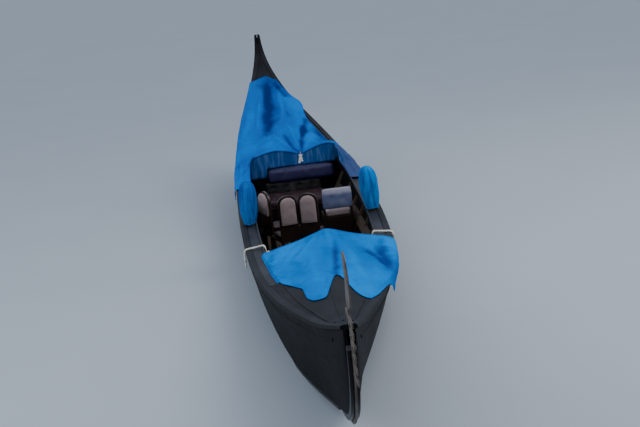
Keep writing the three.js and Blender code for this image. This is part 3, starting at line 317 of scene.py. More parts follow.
def heading(points, i, closed):
    """The way a line runs at its point i."""
    before = points[i - 1] if i or closed else points[i]
    after = points[(i + 1) % len(points)] if i < len(points) - 1 or closed else points[i]
    return (Vector(after) - Vector(before)).normalized()


def swept(points, section, closed=False, axis=(0, 0, 1)):
    """A bmesh of a section, as pairs across and up, carried along a line of points."""
    mesh = bmesh.new()
    rings = []
    for i, point in enumerate(points):
        along = heading(points, i, closed)
        across = along.cross(Vector(axis)).normalized()
        up = across.cross(along)
        rings.append([mesh.verts.new(Vector(point) + across * a + up * b) for a, b in section])
    return skin(mesh, rings, closed)


def span(start, end, count):
    """Even numbers from start to end, both among them."""
    return [start + (end - start) * i / (count - 1) for i in range(count)]


def half_round(width, height, steps=7):
    """The section of a moulding with a round face and a back just under the surface."""
    arc = [(width / 2 * math.cos(a), height * math.sin(a)) for a in span(0, math.pi, steps)]
    return arc + [(-width / 2, -0.002), (width / 2, -0.002)]


for side_name, side in SIDES:
    planking = "side_planking_" + side_name
    faired(planking, hull_lacquer, mark=("strake", strake_share))
    outside = surface(planking)
    line = []
    for x in span(-5.2, 4.9, 160):
        met = outside((x, side * 1.5, sheer(x) - 0.062), (0, -side, 0))
        if met:
            line.append(met)
    section = [(-side * out, across) for across, out in half_round(0.02, 0.007)]
    piece("rubbing_moulding_" + side_name, swept(line, section), hull_lacquer)


# Bottom planking: cross planks under the flat of the boat, paid with black tar paint. The chine is worn
# where the boat is drawn up, and it lies wholly below the waterline when afloat.
bottom_paint = Finish("bottom_paint", "bottom_paint", Specular_IOR_Level=0.35)
tarred = bottom_paint.cloud(6.0, 5, (1, 3, 1))
plank_edge = bottom_paint.node("Math", {0: bottom_paint.axis("X") * 7.0, 1: 1.0}, operation="PINGPONG")
bottom_paint.set(
    Base_Color=bottom_paint.mix(tarred, (0.012, 0.013, 0.013), (0.035, 0.04, 0.034)),
    Roughness=tarred * 0.3 + 0.5,
    Normal=bottom_paint.bump(bottom_paint.ease(plank_edge, 0.0, 0.03) + tarred * 0.4, 0.002))
faired("bottom_planking", bottom_paint)

# Stem and sternpost: sawn from thick oak and lacquered with the hull. The planks are nailed into their
# sides, and their edges are rounded by hand.
for post in ("stem", "sternpost"):
    eased(post, lacquer, 0.004)


# Cap rails: oak strips bent along the sheer in four lengths each, scarfed and pegged from above. Hands
# and ropes wear their edges, so they are duller than the sides.
rail_lacquer = lacquer_finish("rail_lacquer", dust_and_sheen=0.3, rough=0.46, shine=0.06)
for side_name, side in SIDES:
    bevelled(faired("cap_rail_" + side_name, rail_lacquer, crease=40), 0.003)


# Stern head: a wedge of oak between the side planks over the sternpost, and a tapered block between the ends
# of the two rails. They close the slot at the boat's highest point.
def stacked(name, rings, finish):
    """A solid through rings of as many points each, closed at both ends."""
    mesh = bmesh.new()
    skin(mesh, [[mesh.verts.new(p) for p in ring] for ring in rings])
    return piece(name, mesh, finish)


rail_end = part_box("cap_rail_port")[0].x
BLOCK_FRONT = -5.13
BLOCK_THICK = 0.02
block = []
for x in span(rail_end + 0.012, BLOCK_FRONT, 14):
    port, starboard, top = rail_in["port"](x) + 0.001, -rail_in["starboard"](x) - 0.001, rail_top(x) - 0.004
    low = top - BLOCK_THICK
    block.append([(x, starboard, low), (x, port, low), (x, port, top), (x, starboard, top)])
stacked("stern_head_block", block, rail_lacquer)
planks_at = surface("side_planking_port", "side_planking_starboard")
WEDGE_DEEP = 0.05
SLOT_WIDE = 0.12  # the slot between the planks is narrower than this at their ends
wedge = []
for z in span(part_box("sternpost")[1].z - 0.02, rail_top(rail_end) - 0.03, 16):
    for x in span(-5.52, -5.2, 161):
        port, starboard = planks_at((x, 0, z), (0, 1, 0)), planks_at((x, 0, z), (0, -1, 0))
        if port and starboard and port.y - starboard.y < SLOT_WIDE:
            front, back = x + 0.006 + WEDGE_DEEP, x + 0.006
            wedge.append([(back, starboard.y, z), (back, port.y, z), (front, port.y, z),
                          (front, starboard.y, z)])
            break
stacked("stern_head_wedge", wedge, hull_lacquer)


# Fore and aft decks: thin cambered boards over the ends, lacquered to a gloss, with a half-round moulding
# down the middle line and one along each edge.
deck_lacquer = lacquer_finish("deck_lacquer", dust_and_sheen=0.18, rough=0.45, shine=0.05)
for deck in ("fore_deck", "aft_deck"):
    faired(deck, deck_lacquer, crease=50)
fore_deck_at = surface("fore_deck")
# Each moulding's place between the rails, and where it comes out from under the canvas.
for name, share, start in (("middle", 0.5, 3.05), ("port", 0.1, 3.8), ("starboard", 0.9, 2.86)):
    places = [(x, rail_in["port"](x) * (1 - share) - rail_in["starboard"](x) * share, 3)
              for x in span(start, 4.75, 60)]
    line = [met for met in map(fore_deck_at, places) if met]
    piece("fore_deck_moulding_" + name, swept(line, half_round(0.022, 0.0045)), deck_lacquer)


# Bulkheads: boards across the hull that close the decks' ends. The locker's door has a frame of mouldings
# and a small ring to pull it by.
for bulkhead in ("fore_bulkhead", "aft_bulkhead"):
    eased(bulkhead, lacquer, 0.002)
eased("locker_door", lacquer, 0.0015, "locker_door")
polished = Finish("polished_iron", "iron", Metallic=1.0)
tarnish = polished.cloud(11.0, 5, (1, 1, 1))
scratches = polished.cloud(60.0, 3, (1, 1, 14))
polished.set(
    Base_Color=polished.mix(polished.ease(tarnish, 0.4, 0.7), (0.15, 0.12, 0.1), (0.07, 0.045, 0.03)),
    Roughness=tarnish * 0.22 + scratches * 0.08 + 0.3,
    Normal=polished.bump(scratches, 0.0004))
door_low, door_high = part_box("locker_door")
door_face = surface("locker_door")(
    (0, (door_low.y + door_high.y) / 2, (door_low.z + door_high.z) / 2), (1, 0, 0)).x
PANEL_INSET = 0.045
panel = [(door_low.y + PANEL_INSET, door_low.z + PANEL_INSET),
         (door_high.y - PANEL_INSET - 0.02, door_low.z + PANEL_INSET),
         (door_high.y - PANEL_INSET - 0.02, door_high.z - PANEL_INSET),
         (door_low.y + PANEL_INSET, door_high.z - PANEL_INSET)]
panel_line = [Vector((door_face, y, z)) for y, z in panel]
piece("locker_door_moulding", swept(panel_line, [(0.006, 0.001), (0.004, -0.004), (-0.004, -0.004),
                                                 (-0.006, 0.001)], True, (1, 0, 0)),
      lacquer, "locker_door")


def circle(radius, sides):
    """Even points round a circle, as pairs."""
    return [(radius * math.cos(a), radius * math.sin(a))
            for a in (2 * math.pi * i / sides for i in range(sides))]


def ring(centre, normal, radius, wire):
    """A bmesh of a round ring."""
    turn = Vector(normal).to_track_quat("Z", "Y").to_matrix()
    line = [Vector(centre) + turn @ Vector((a, b, 0)) for a, b in circle(radius, 28)]
    return swept(line, circle(wire, 8), True, normal)


piece("locker_ring", ring((door_face - 0.004, door_low.y + 0.03, 0.28), (1, 0, 0), 0.014, 0.002),
      polished, "locker_door")


# Frames: floor timbers across the bottom with a keelson along them, and ribs up each side with a stringer.
# They are sawn from elm and oiled, and dark from years of use.
oiled_wood = Finish("oiled_wood", "inner_wood", Specular_IOR_Level=0.3)
grain = oiled_wood.cloud(9.0, 6, (0.35, 6, 6))
stain = oiled_wood.cloud(3.0, 4)
oiled_wood.set(
    Base_Color=oiled_wood.mix(
        stain, oiled_wood.mix(grain, (0.055, 0.034, 0.02), (0.13, 0.085, 0.055)), (0.045, 0.036, 0.03)),
    Roughness=grain * 0.2 + stain * 0.2 + 0.36,
    Normal=oiled_wood.bump(grain, 0.002))
for frames in ("floor_timbers", "ribs_port", "ribs_starboard"):
    eased(frames, oiled_wood, 0.0025, segments=1)

# Floorboards: tapered boards of fir along the well, three lengths end to end, with gaps that let the bilge
# drain. They lie loose on the floor timbers.
floor_top = surface("floorboards")
floor_port = station_line("floorboards", lambda row: max(p.y for p in row))
floor_starboard = station_line("floorboards", lambda row: min(p.y for p in row))
BOARDS = 6
BOARD_GAP = 0.005
BOARD_THICK = 0.012
BOARD_ENDS = (-2.376, -0.72, 0.93, 2.582)
boards = bmesh.new()
for k in range(BOARDS):
    for start, end in zip(BOARD_ENDS, BOARD_ENDS[1:]):
        rings = []
        for x in span(start + 0.003, end - 0.003, 15):
            y0, y1 = floor_starboard(x), floor_port(x)
            wide = (y1 - y0) / BOARDS
            left, right = y0 + wide * k + BOARD_GAP / 2, y0 + wide * (k + 1) - BOARD_GAP / 2
            z = floor_top((x, (left + right) / 2, 1)).z + 0.0004 * math.sin(9 * x + 2 * k)
            rings.append([boards.verts.new((x, y, up)) for y, up in (
                (left, z - BOARD_THICK), (right, z - BOARD_THICK), (right, z), (left, z))])
        skin(boards, rings)
bevelled(piece("floorboards_laid", boards, oiled_wood, "hull", ("floorboards",)), 0.002)


# Fore thwart: one lacquered oak plank across the well. It is let in under the side decks on both sides and
# ties them together.
eased("fore_thwart", rail_lacquer, 0.006)

# Ridge batten: a square bar of oiled elm on a post, which holds up the fore cover like a tent. Both lie
# loose and lift out by hand.
eased("cover_ridge_batten", oiled_wood, 0.004)


# Bow iron: a forged and polished plate with a broad cap, six teeth forward and one aft. Rivets with low
# heads hold its tail to the stem.
def plate(node, width):
    return eased(node, polished, width, segments=3)


plate("bow_iron", 0.0024)
iron_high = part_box("bow_iron")[1]
iron_face = surface("bow_iron")


def rivets(name, heads, radius, finish):
    """Low domed heads, each given by its place and the way it faces."""
    mesh = bmesh.new()
    squash = Matrix.Diagonal((1, 1, 0.45, 1))
    for place, facing in heads:
        turn = Vector(facing).to_track_quat("Z", "Y").to_matrix().to_4x4()
        made = bmesh.ops.create_uvsphere(mesh, u_segments=12, v_segments=6, radius=radius)
        bmesh.ops.transform(mesh, verts=made["verts"], matrix=Matrix.Translation(place) @ turn @ squash)
    return piece(name, mesh, finish)


iron_rivets = []
for z in (0.32, 0.44, 0.56, 0.68, 0.8, 0.92, 1.04):
    edge = iron_face((4.0, 0, z), (1, 0, 0))
    if edge:
        for side in (1, -1):
            iron_rivets.append((Vector((edge.x + 0.02, side * iron_high.y, z)), (0, side, 0)))
rivets("bow_iron_rivets", iron_rivets, 0.007, polished)

# Stern iron: a strip of the same iron, forged to the sternpost's curve and nailed round its head. It guards
# the stern from knocks.
plate("stern_iron", 0.0016)


# Side decks: oak boards along the well inside the rails, nailed down on the frames' heads. Coamings with a
# small bead close their inner edges.
side_lacquer = lacquer_finish("side_lacquer", dust_and_sheen=0.55, rough=0.4, shine=0.1)
coaming_in = both_sides("side_deck_", lambda row: min(abs(p.y) for p in row))
coaming_top = both_sides("side_deck_", lambda row: max(p.z for p in row))
for side_name, side in SIDES:
    eased("side_deck_" + side_name, side_lacquer, 0.004)
    line = [Vector((x, side * (coaming_in[side_name](x) - 0.001), coaming_top[side_name](x) - 0.014))
            for x in span(-2.35, 2.55, 120)]
    piece("coaming_bead_" + side_name, swept(line, [(-side * u, v) for v, u in half_round(0.008, 0.004, 6)]),
          side_lacquer)


# Mooring ropes: three-strand white rope, a turn round the thwart on each side, then a lead over the coaming
# and the rail to an eye that hangs outside.
rope_finish = Finish("white_rope", "white_rope", Specular_IOR_Level=0.2)
fibres = rope_finish.cloud(240.0, 2)
soiled = rope_finish.cloud(14.0, 4)
rope_finish.set(
    Base_Color=rope_finish.mix(rope_finish.ease(soiled, 0.42, 0.7), (0.74, 0.73, 0.66), (0.42, 0.4, 0.33)),
    Roughness=fibres * 0.1 + 0.82, Normal=rope_finish.bump(fibres, 0.0008),
    Sheen_Weight=0.2)


def curve_points(corners, step):
    """Even points on a smooth line through the corners."""
    line = []
    for i in range(len(corners) - 1):
        a, b = corners[i], corners[i + 1]
        before = corners[i - 1] if i else a + (a - b)
        after = corners[i + 2] if i + 2 < len(corners) else b + (b - a)
        count = max(2, round((b - a).length / step))
        for k in range(count):
            t = k / count
            line.append(0.5 * ((2 * a) + (b - before) * t + (2 * before - 5 * a + 4 * b - after) * t * t
                               + (3 * a - before - 3 * b + after) * t ** 3))
    return line + [corners[-1]]


def carried(points, closed=False):
    """Each point with two directions square to the line there, turned as little as possible."""
    frames = []
    across = None
    for i, point in enumerate(points):
        along = heading(points, i, closed)
        if across is None:
            across = along.orthogonal().normalized()
        across = (across - along * across.dot(along)).normalized()
        frames.append((point, across, along.cross(across)))
    return frames


def tube(points, radius, sides=8, closed=False):
    """A bmesh of a round bar along points."""
    mesh = bmesh.new()
    rings = [[mesh.verts.new(point + radius * (across * math.cos(a) + up * math.sin(a)))
              for a in (2 * math.pi * k / sides for k in range(sides))]
             for point, across, up in carried(points, closed)]
    return skin(mesh, rings, closed)


def together(*meshes):
    """The bmeshes as one."""
    whole = meshes[0]
    for other in meshes[1:]:
        data = mesh_data("part", other)
        whole.from_mesh(data)
        bpy.data.meshes.remove(data)
    return whole


ROPE_LAY = 0.055  # length of rope in which a strand goes once round
STRANDS = 3


def travelled(points):
    """How far along the line each point lies."""
    gone = [0.0]
    for a, b in zip(points, points[1:]):
        gone.append(gone[-1] + (b - a).length)
    return gone


def laid_rope(points, radius):
    """Three strands laid round a line of points."""
    strands = []
    for s in range(STRANDS):
        line = []
        for (point, across, up), gone in zip(carried(points), travelled(points)):
            a = 2 * math.pi * (gone / ROPE_LAY + s / STRANDS)
            line.append(point + radius * 0.47 * (across * math.cos(a) + up * math.sin(a)))
        strands.append(tube(line, radius * 0.56, 7))
    return together(*strands)


ROPE_X = 0.88
ROPE_RADIUS = 0.009
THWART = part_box("fore_thwart")
for side_name, side in SIDES:
    inner, top = coaming_in[side_name](ROPE_X), coaming_top[side_name](ROPE_X)
    rail_inner, out, rail = rail_in[side_name](ROPE_X), rail_out[side_name](ROPE_X), rail_top(ROPE_X)
    lift = ROPE_RADIUS + 0.0006
    low, high = THWART[0].z - lift, THWART[1].z + lift
    front, back = THWART[1].x + lift, THWART[0].x - lift
    turns = []
    for n in range(2):
        y = inner - 0.03 - 0.019 * n
        for x, z in ((front - 0.006, high), (back + 0.006, high), (back, high - 0.006), (back, low + 0.006),
                     (back + 0.006, low), (front - 0.006, low), (front, low + 0.006), (front, high - 0.006)):
            y += 0.0024
            turns.append(Vector((x, side * min(y, inner - 0.012), z)))
    turns.append(Vector((front - 0.006, side * (inner - 0.012), high)))
    lead = [(inner - 0.028, high - 0.002), (inner - 0.022, high + 0.016), (inner - 0.013, top - 0.002),
            (inner - 0.004, top + 0.008), (inner + 0.01, top + 0.0105), (rail_inner, rail + 0.013),
            ((rail_inner + out) / 2, rail + 0.0105), (out - 0.004, rail + 0.006), (out + 0.008, rail - 0.008),
            (out + 0.0105, rail - 0.03), (out + 0.0105, rail - 0.104)]
    lead = [Vector((ROPE_X + 0.012 * math.sin(i * 0.9), side * y, z)) for i, (y, z) in enumerate(lead)]
    eye_top = lead[-1]
    eye = [eye_top + Vector((0.024 * math.sin(a), 0, 0.024 * math.cos(a) - 0.024))
           for a in span(0, 2 * math.pi, 28)]
    rope = together(laid_rope(curve_points(turns, 0.006), ROPE_RADIUS),
                    laid_rope(curve_points(lead, 0.006), ROPE_RADIUS),
                    laid_rope(eye, ROPE_RADIUS * 0.95))
    piece("mooring_rope_" + side_name + "_laid", rope, rope_finish, "hull",
          ("mooring_rope_" + side_name,), 60)
    piece("rope_whipping_" + side_name,
          tube(curve_points([lead[-1] + Vector((0, 0, 0.045)), lead[-1] + Vector((0, 0, 0.004))], 0.006),
               ROPE_RADIUS * 1.12, 14), rope_finish)


# Seat box and back board: lacquered boards round a hollow under the cushion, and behind it a board with two
# arches, which carries the pads.
eased("seat_box", lacquer, 0.004)
eased("seat_back_board", lacquer, 0.003)


# Cushions and pads: leather or cloth sewn over stuffing, with piping along the seams. Their tops crown,
# the sides bulge, and creases gather at the corners.
def leather_finish(name, slot, colour, worn, rough):
    made = Finish(name, slot, Specular_IOR_Level=0.4)
    grains = made.node("TexVoronoi", {"Vector": made.place, "Scale": 260.0}, feature="F1")
    use = made.cloud(7.0, 5)
    made.set(Base_Color=made.mix(made.ease(use, 0.5, 0.78), colour, worn),
             Roughness=use * 0.25 + rough, Normal=made.bump(grains, 0.0006, made.bump(use, 0.004)))
    return made


maroon = leather_finish("maroon_leather", "maroon_leather", (0.018, 0.005, 0.008), (0.045, 0.014, 0.019),
                        0.38)
violet = leather_finish("roll_leather", "maroon_leather", (0.009, 0.008, 0.05), (0.022, 0.018, 0.085), 0.46)
black_leather = leather_finish("black_leather", "black_leather", (0.009, 0.008, 0.009), (0.03, 0.028, 0.03),
                               0.36)
upholstery = Finish("pale_upholstery", "pale_upholstery", Sheen_Weight=0.25, Specular_IOR_Level=0.2)
threads = upholstery.node("TexVoronoi", {"Vector": upholstery.place, "Scale": 420.0}, feature="F1")
faded = upholstery.cloud(9.0, 5)
upholstery.set(
    Base_Color=upholstery.mix(faded, (0.34, 0.25, 0.25), (0.2, 0.15, 0.15)),
    Roughness=faded * 0.1 + 0.78, Normal=upholstery.bump(threads, 0.001, upholstery.bump(faded, 0.005)))


SOFT_EDGE = 0.42  # the rounding of a pad's edges, over its smallest half size


def stuffed(name, node, finish, crown, cells, tufts, seed, turn=0.0, size=None):
    """A padded piece in the place of the CAD node's box, or of that half size, with cells to each side."""
    low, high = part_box(node)
    half = size or (high - low) / 2
    mesh = bmesh.new()
    places = {}

    def corner(i, j, k):
        key = (i, j, k)
        if key not in places:
            u, v, w = (2 * n / c - 1 for n, c in zip(key, cells))
            places[key] = mesh.verts.new(shape(u, v, w))
        return places[key]

    rounding = [SOFT_EDGE * min(half) / h for h in half]

    def shape(*place):
        cores = [max(share - 1, min(1 - share, value)) for value, share in zip(place, rounding)]
        rest = Vector([(value - core) / share for value, core, share in zip(place, cores, rounding)])
        if rest.length > 1e-6:
            rest = rest / rest.length * max(abs(n) for n in rest)
        place = [core + part * share for core, part, share in zip(cores, rest, rounding)]
        swell = [(1 - place[(n + 1) % 3] ** 4) * (1 - place[(n + 2) % 3] ** 4) for n in range(3)]
        offset = Vector([math.copysign(crown * s * abs(p) ** 3, p) for s, p in zip(swell, place)])
        point = Vector([p * (h - crown * 0.5) for p, h in zip(place, half)]) + offset
        for tu, tv, axis, deep in tufts:
            others = [n for n in range(3) if n != axis]
            if place[axis] > 0.5:
                near = math.hypot((place[others[0]] - tu) * half[others[0]],
                                  (place[others[1]] - tv) * half[others[1]])
                point[axis] -= deep * math.exp(-(near / 0.035) ** 2)
        wave = noise.noise(point * 11 + Vector((seed * 7.3, 0, 0))) * 0.5
        wave += noise.noise(point * 27 + Vector((0, seed * 3.1, 0))) * 0.22
        return point + Vector(place).normalized() * wave * 0.008

    for axis in range(3):
        a, b = [n for n in range(3) if n != axis]
        for end in (0, cells[axis]):
            for i in range(cells[a]):
                for j in range(cells[b]):
                    quad = []
                    for di, dj in ((0, 0), (1, 0), (1, 1), (0, 1)):
                        key = [0, 0, 0]
                        key[axis], key[a], key[b] = end, i + di, j + dj
                        quad.append(corner(*key))
                    mesh.faces.new(quad)
    bmesh.ops.recalc_face_normals(mesh, faces=mesh.faces)
    spin = Matrix.Translation((low + high) / 2) @ Matrix.Rotation(turn, 4, "Z")
    bmesh.ops.transform(mesh, verts=mesh.verts, matrix=spin)
    made = subdivided(piece(name, mesh, finish, "hull", (node,), ALL_SMOOTH), 1)
    return made, spin, half


def filled(outline, step):
    """A closed outline with points along its sides, about a step apart."""
    line = []
    for p, q in zip(outline, outline[1:] + outline[:1]):
        count = max(1, round((q - p).length / step))
        line += [p.lerp(q, k / count) for k in range(count)]
    return line


def piping(name, spin, half, axis, level, finish, radius=0.004, inset=0.004):
    """A corded seam round a pad at a level along one of its axes."""
    a, b = [n for n in range(3) if n != axis]
    ha, hb = half[a] - inset, half[b] - inset
    r = min(0.05, 0.45 * min(ha, hb))
    line = []
    for sa, sb, start in ((1, 1, 0), (-1, 1, 1), (-1, -1, 2), (1, -1, 3)):
        for t in span(0, 1, 7):
            angle = (start + t) * math.pi / 2
            point = [0, 0, 0]
            point[a] = sa * (ha - r) + r * math.cos(angle)
            point[b] = sb * (hb - r) + r * math.sin(angle)
            point[axis] = level
            line.append(Vector(point))
    dense = [spin @ (p + Vector((0, 0, 0.0012 * noise.noise(p * 30)))) for p in filled(line, 0.02)]
    return piece(name, tube(dense, radius, closed=True), finish)


seat_tufts = [(u, v, 2, 0.012) for u in (-0.5, 0.0, 0.5) for v in (-0.72, -0.36, 0.0, 0.36, 0.72)]
_, seat_spin, seat_half = stuffed("seat_cushion_sewn", "seat_cushion", maroon, 0.014,
                                  (40, 52, 10), seat_tufts, 2)
for level in (-0.75, 0.75):
    piping("seat_cushion_piping_" + ("low" if level < 0 else "high"), seat_spin, seat_half, 2,
           level * seat_half.z, maroon, 0.0045)
buttons = [(seat_spin @ Vector((u * seat_half.x, v * seat_half.y, seat_half.z - 0.009)), (0, 0, 1))
           for u, v, _, _ in seat_tufts]
rivets("seat_cushion_buttons", buttons, 0.009, maroon)
back_tufts = [(v, w, 0, 0.012) for v in (-0.7, -0.23, 0.23, 0.7) for w in (-0.3, 0.35)]
stuffed("seat_back_pad_sewn", "seat_back_pad", black_leather, 0.008, (8, 44, 20),
        back_tufts, 3)
_, roll_spin, roll_half = stuffed("seat_back_roll_sewn", "seat_back_roll", violet, 0.016,
                                  (16, 60, 20), (), 4)
for share in (-0.5, 0.0, 0.5):
    piping("seat_back_roll_seam_" + str(round(2 * share) + 1), roll_spin, roll_half, 1,
           share * roll_half.y, violet, 0.003, 0.001)


# Back cover: satin cloth, coated against spray, drawn over the double arch of the seat's back and tied in
# the middle with a white tape. It hangs in upright creases from the arch.
smoky = Finish("smoky_cover", "smoky_cover", Specular_IOR_Level=0.12)
sheen_streaks = smoky.cloud(9.0, 4, (1, 3.2, 0.5))
# Upward faces are darkened as painted shade, and the pale streaks are painted sheen.
smoky.set(
    Base_Color=smoky.mix(
        smoky.ease(smoky.facing_up(), 0.4, 0.95),
        smoky.mix(smoky.ease(sheen_streaks, 0.42, 0.76), (0.002, 0.055, 0.2), (0.06, 0.13, 0.32)),
        (0.01, 0.04, 0.15)),
    Roughness=sheen_streaks * 0.2 + 0.42,
    Normal=smoky.bump(smoky.cloud(5.0, 4, (1, 4.0, 0.6)), 0.012))


def cloth_area(rows):
    """Square metres of the sheet through the rows."""
    total = 0.0
    for first, second in zip(rows, rows[1:]):
        for a, b, c, d in zip(first, first[1:], second[1:], second):
            total += ((b - a).cross(d - a).length + (b - c).cross(d - c).length) / 2
    return total


def cloth_piece(name, rows, finish, instead, thick=0.0022, rise=None, smooth=1):
    """A sheet of cloth through rows of points, its weave coordinates in metres, solid to that thickness."""
    mesh = bmesh.new()
    weave = mesh.loops.layers.uv.new("weave")
    lifted = mesh.verts.layers.float.new("rise")
    grid = [[mesh.verts.new(p) for p in row] for row in rows]
    if rise:
        for row, values in zip(grid, rise):
            for vertex, value in zip(row, values):
                vertex[lifted] = value
    wide = sum((b - a).length for a, b in zip(rows[len(rows) // 2], rows[len(rows) // 2][1:]))
    long = sum((b[0] - a[0]).length for a, b in zip(rows, rows[1:]))
    for i in range(len(grid) - 1):
        for j in range(len(grid[0]) - 1):
            face = mesh.faces.new((grid[i][j], grid[i][j + 1], grid[i + 1][j + 1], grid[i + 1][j]))
            for loop, (di, dj) in zip(face.loops, ((0, 0), (0, 1), (1, 1), (1, 0))):
                loop[weave].uv = ((i + di) / (len(grid) - 1) * long, (j + dj) / (len(grid[0]) - 1) * wide)
    made = piece(name, mesh, finish, "hull", (instead,), ALL_SMOOTH)
    if smooth:
        subdivided(made, smooth)
    body = made.modifiers.new("thickness", "SOLIDIFY")
    body.thickness = thick
    body.offset = -1
    cloth_area(rows)


back_low, back_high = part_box("seat_back_cover")
arch_hit = surface("seat_back_cover")


def arch_top(y):
    return arch_hit((back_low.x + 0.016, y, 2)).z


def between(table):
    """A straight rule between the pairs of a table, level beyond its ends."""
    def at(value):
        i = min(max(bisect.bisect_right(table, (value,)) - 1, 0), len(table) - 2)
        (a, first), (b, second) = table[i], table[i + 1]
        return first + (second - first) * clipped((value - a) / (b - a))
    return at


apron_low = between([(-0.444, 0.653), (-0.434, 0.478), (-0.172, 0.478), (-0.160, 0.591), (0.705, 0.591),
                     (0.713, 0.653)])
back_rows = []
for y in span(back_low.y + 0.002, back_high.y - 0.002, 190):
    top = arch_top(y)
    low = apron_low(y) + 0.004 * noise.noise(Vector((y * 6, 0, 0)))
    wave = 0.0045 * (noise.noise(Vector((y * 16, 3, 0))) + 0.6 * noise.noise(Vector((y * 37, 9, 0))) + 0.5)
    row = []
    profile = [(back_low.x, 0.0), (back_low.x, 0.35), (back_low.x, 0.7), (back_low.x + 0.001, 0.94),
               (back_low.x + 0.007, 0.995), (back_low.x + 0.016, 1.0), (back_high.x - 0.007, 0.995),
               (back_high.x - 0.001, 0.94), (back_high.x, 0.8), (back_high.x, 0.6), (back_high.x, 0.4),
               (back_high.x, 0.2), (back_high.x, 0.0)]
    for x, share in profile:
        hang = 1 - share
        push = wave * (0.25 + 1.3 * hang)
        outward = -push if x < back_low.x + 0.01 else push
        row.append(Vector((x + outward, y, low + (top - low) * share)))
    back_rows.append(row)
cloth_piece("seat_back_cover_sewn", back_rows, smoky, "seat_back_cover")

cusp_y = min(span(0.05, 0.35, 40), key=arch_top)
cusp_z = arch_top(cusp_y)
tape = Finish("white_tape", "white_rope", Specular_IOR_Level=0.3)
tape_cloud = tape.cloud(40.0, 3)
tape.set(Base_Color=tape.mix(tape_cloud, (0.8, 0.8, 0.78), (0.58, 0.58, 0.55)),
         Roughness=tape_cloud * 0.1 + 0.7, Normal=tape.bump(tape_cloud, 0.001))
tape_parts = []
for lean, length, width in ((-0.20, 0.10, 0.024), (0.16, 0.085, 0.022)):
    line = [Vector((back_high.x + 0.007 + 0.002 * math.sin(5 * t), cusp_y + lean * length * t * 1.1,
                    cusp_z - 0.012 - length * t)) for t in span(0, 1, 12)]
    tape_parts.append(swept(line, [(-0.0012, -width / 2), (0.0012, -width / 2), (0.0012, width / 2),
                                   (-0.0012, width / 2)], False, (0, 1, 0)))
over = [Vector((x, cusp_y + 0.003, z)) for x, z in (
    (back_low.x - 0.004, cusp_z - 0.03), (back_low.x - 0.002, cusp_z + 0.001),
    (back_low.x + 0.016, cusp_z + 0.005), (back_high.x + 0.003, cusp_z + 0.001),
    (back_high.x + 0.006, cusp_z - 0.02))]
tape_parts.append(swept(curve_points(over, 0.004), [(-0.014, -0.001), (0.014, -0.001), (0.014, 0.001),
                                                    (-0.014, 0.001)], False, (0, 1, 0)))
knot = [Vector((back_high.x + 0.0075, cusp_y + 0.017 * math.cos(a), cusp_z - 0.022 + 0.010 * math.sin(a)))
        for a in span(0, 2 * math.pi, 20)]
tape_parts.append(tube(knot[:-1], 0.005, closed=True))
piece("back_cover_tie", together(*tape_parts), tape)


# Small chairs: varnished frames with rounded backs, their outside and seats covered in cloth and leather
# held by rows of domed tacks.
varnish = Finish("varnished_wood", "varnished_wood", Specular_IOR_Level=0.25, Coat_Weight=0.2,
                 Coat_Roughness=0.15)
figure = varnish.cloud(7.0, 6, (1, 7, 1.2))
varnish.set(Base_Color=varnish.mix(figure, (0.008, 0.005, 0.004), (0.024, 0.012, 0.008)),
            Roughness=figure * 0.2 + 0.26, Normal=varnish.bump(figure, 0.0012))


def flat_pad(name, node, beside, finish, crown, seed):
    """A pad of the CAD node's own outline, crowned on the face that looks away from what it lies on."""
    mesh = merged(node)
    bmesh.ops.dissolve_limit(mesh, angle_limit=math.radians(1), verts=mesh.verts, edges=mesh.edges)
    middle = sum((v.co for v in mesh.verts), Vector()) / len(mesh.verts)
    low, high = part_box(beside)
    away = middle - (low + high) / 2
    away.z = 0
    front = max(mesh.faces, key=lambda f: f.calc_area() * (1 if f.normal.dot(away) > 0 else 0.01))
    normal = front.normal.copy()
    outline = [v.co.copy() for v in front.verts]
    depths = [v.co.dot(normal) for v in mesh.verts]
    thick = max(depths) - min(depths)
    mesh.free()
    centre = sum(outline, Vector()) / len(outline)
    dense = filled(outline, 0.012)
    made = bmesh.new()
    profile = ((0.97, 0.0), (1.0, 0.2), (1.0, 0.55), (0.985, 0.72), (0.95, 0.84), (0.9, 0.9), (0.8, 0.95),
               (0.65, 0.975), (0.5, 0.99), (0.35, 1.0), (0.2, 1.0), (0.08, 1.0))
    rings = []
    for scale, depth in profile:
        row = []
        for p in dense:
            flat = centre + (p - centre) * scale
            wave = 0.0028 * noise.noise(flat * 16 + Vector((seed, 0, 0))) + 0.0012 * noise.noise(flat * 45)
            level = (depth - 1) * thick + (crown * (1 - scale ** 2) + wave if depth > 0.6 else wave * 0.5)
            row.append(made.verts.new(flat + normal * level))
        rings.append(row)
    pad = piece(name, skin(made, rings), finish, "hull", (node,), ALL_SMOOTH)
    edge = [centre + (p - centre) * 0.992 - normal * thick * 0.34 for p in dense]
    piece(name + "_piping", tube(edge, 0.0036, closed=True), finish)
    tacks = [(p - normal * thick * 0.85, (p - centre).normalized()) for p in dense[::2]]
    rivets(name + "_tacks", tacks, 0.0036, polished)


CHAIR_TURNS = {"starboard": -70, "middle": 14, "port": -14}
CHAIR_SEAT_HALF = {"starboard": 0.127, "middle": 0.09, "port": 0.09}
for number, (chair, turn) in enumerate(CHAIR_TURNS.items()):
    eased("chair_frame_" + chair, varnish, 0.004)
    flat_pad("chair_back_" + chair, "chair_back_pad_" + chair, "chair_seat_pad_" + chair, upholstery, 0.006,
             number + 2)
    stuffed("chair_seat_" + chair, "chair_seat_pad_" + chair, maroon, 0.008, (20, 16, 8), (),
            number + 9, math.radians(turn), Vector((0.149, CHAIR_SEAT_HALF[chair], 0.02)))


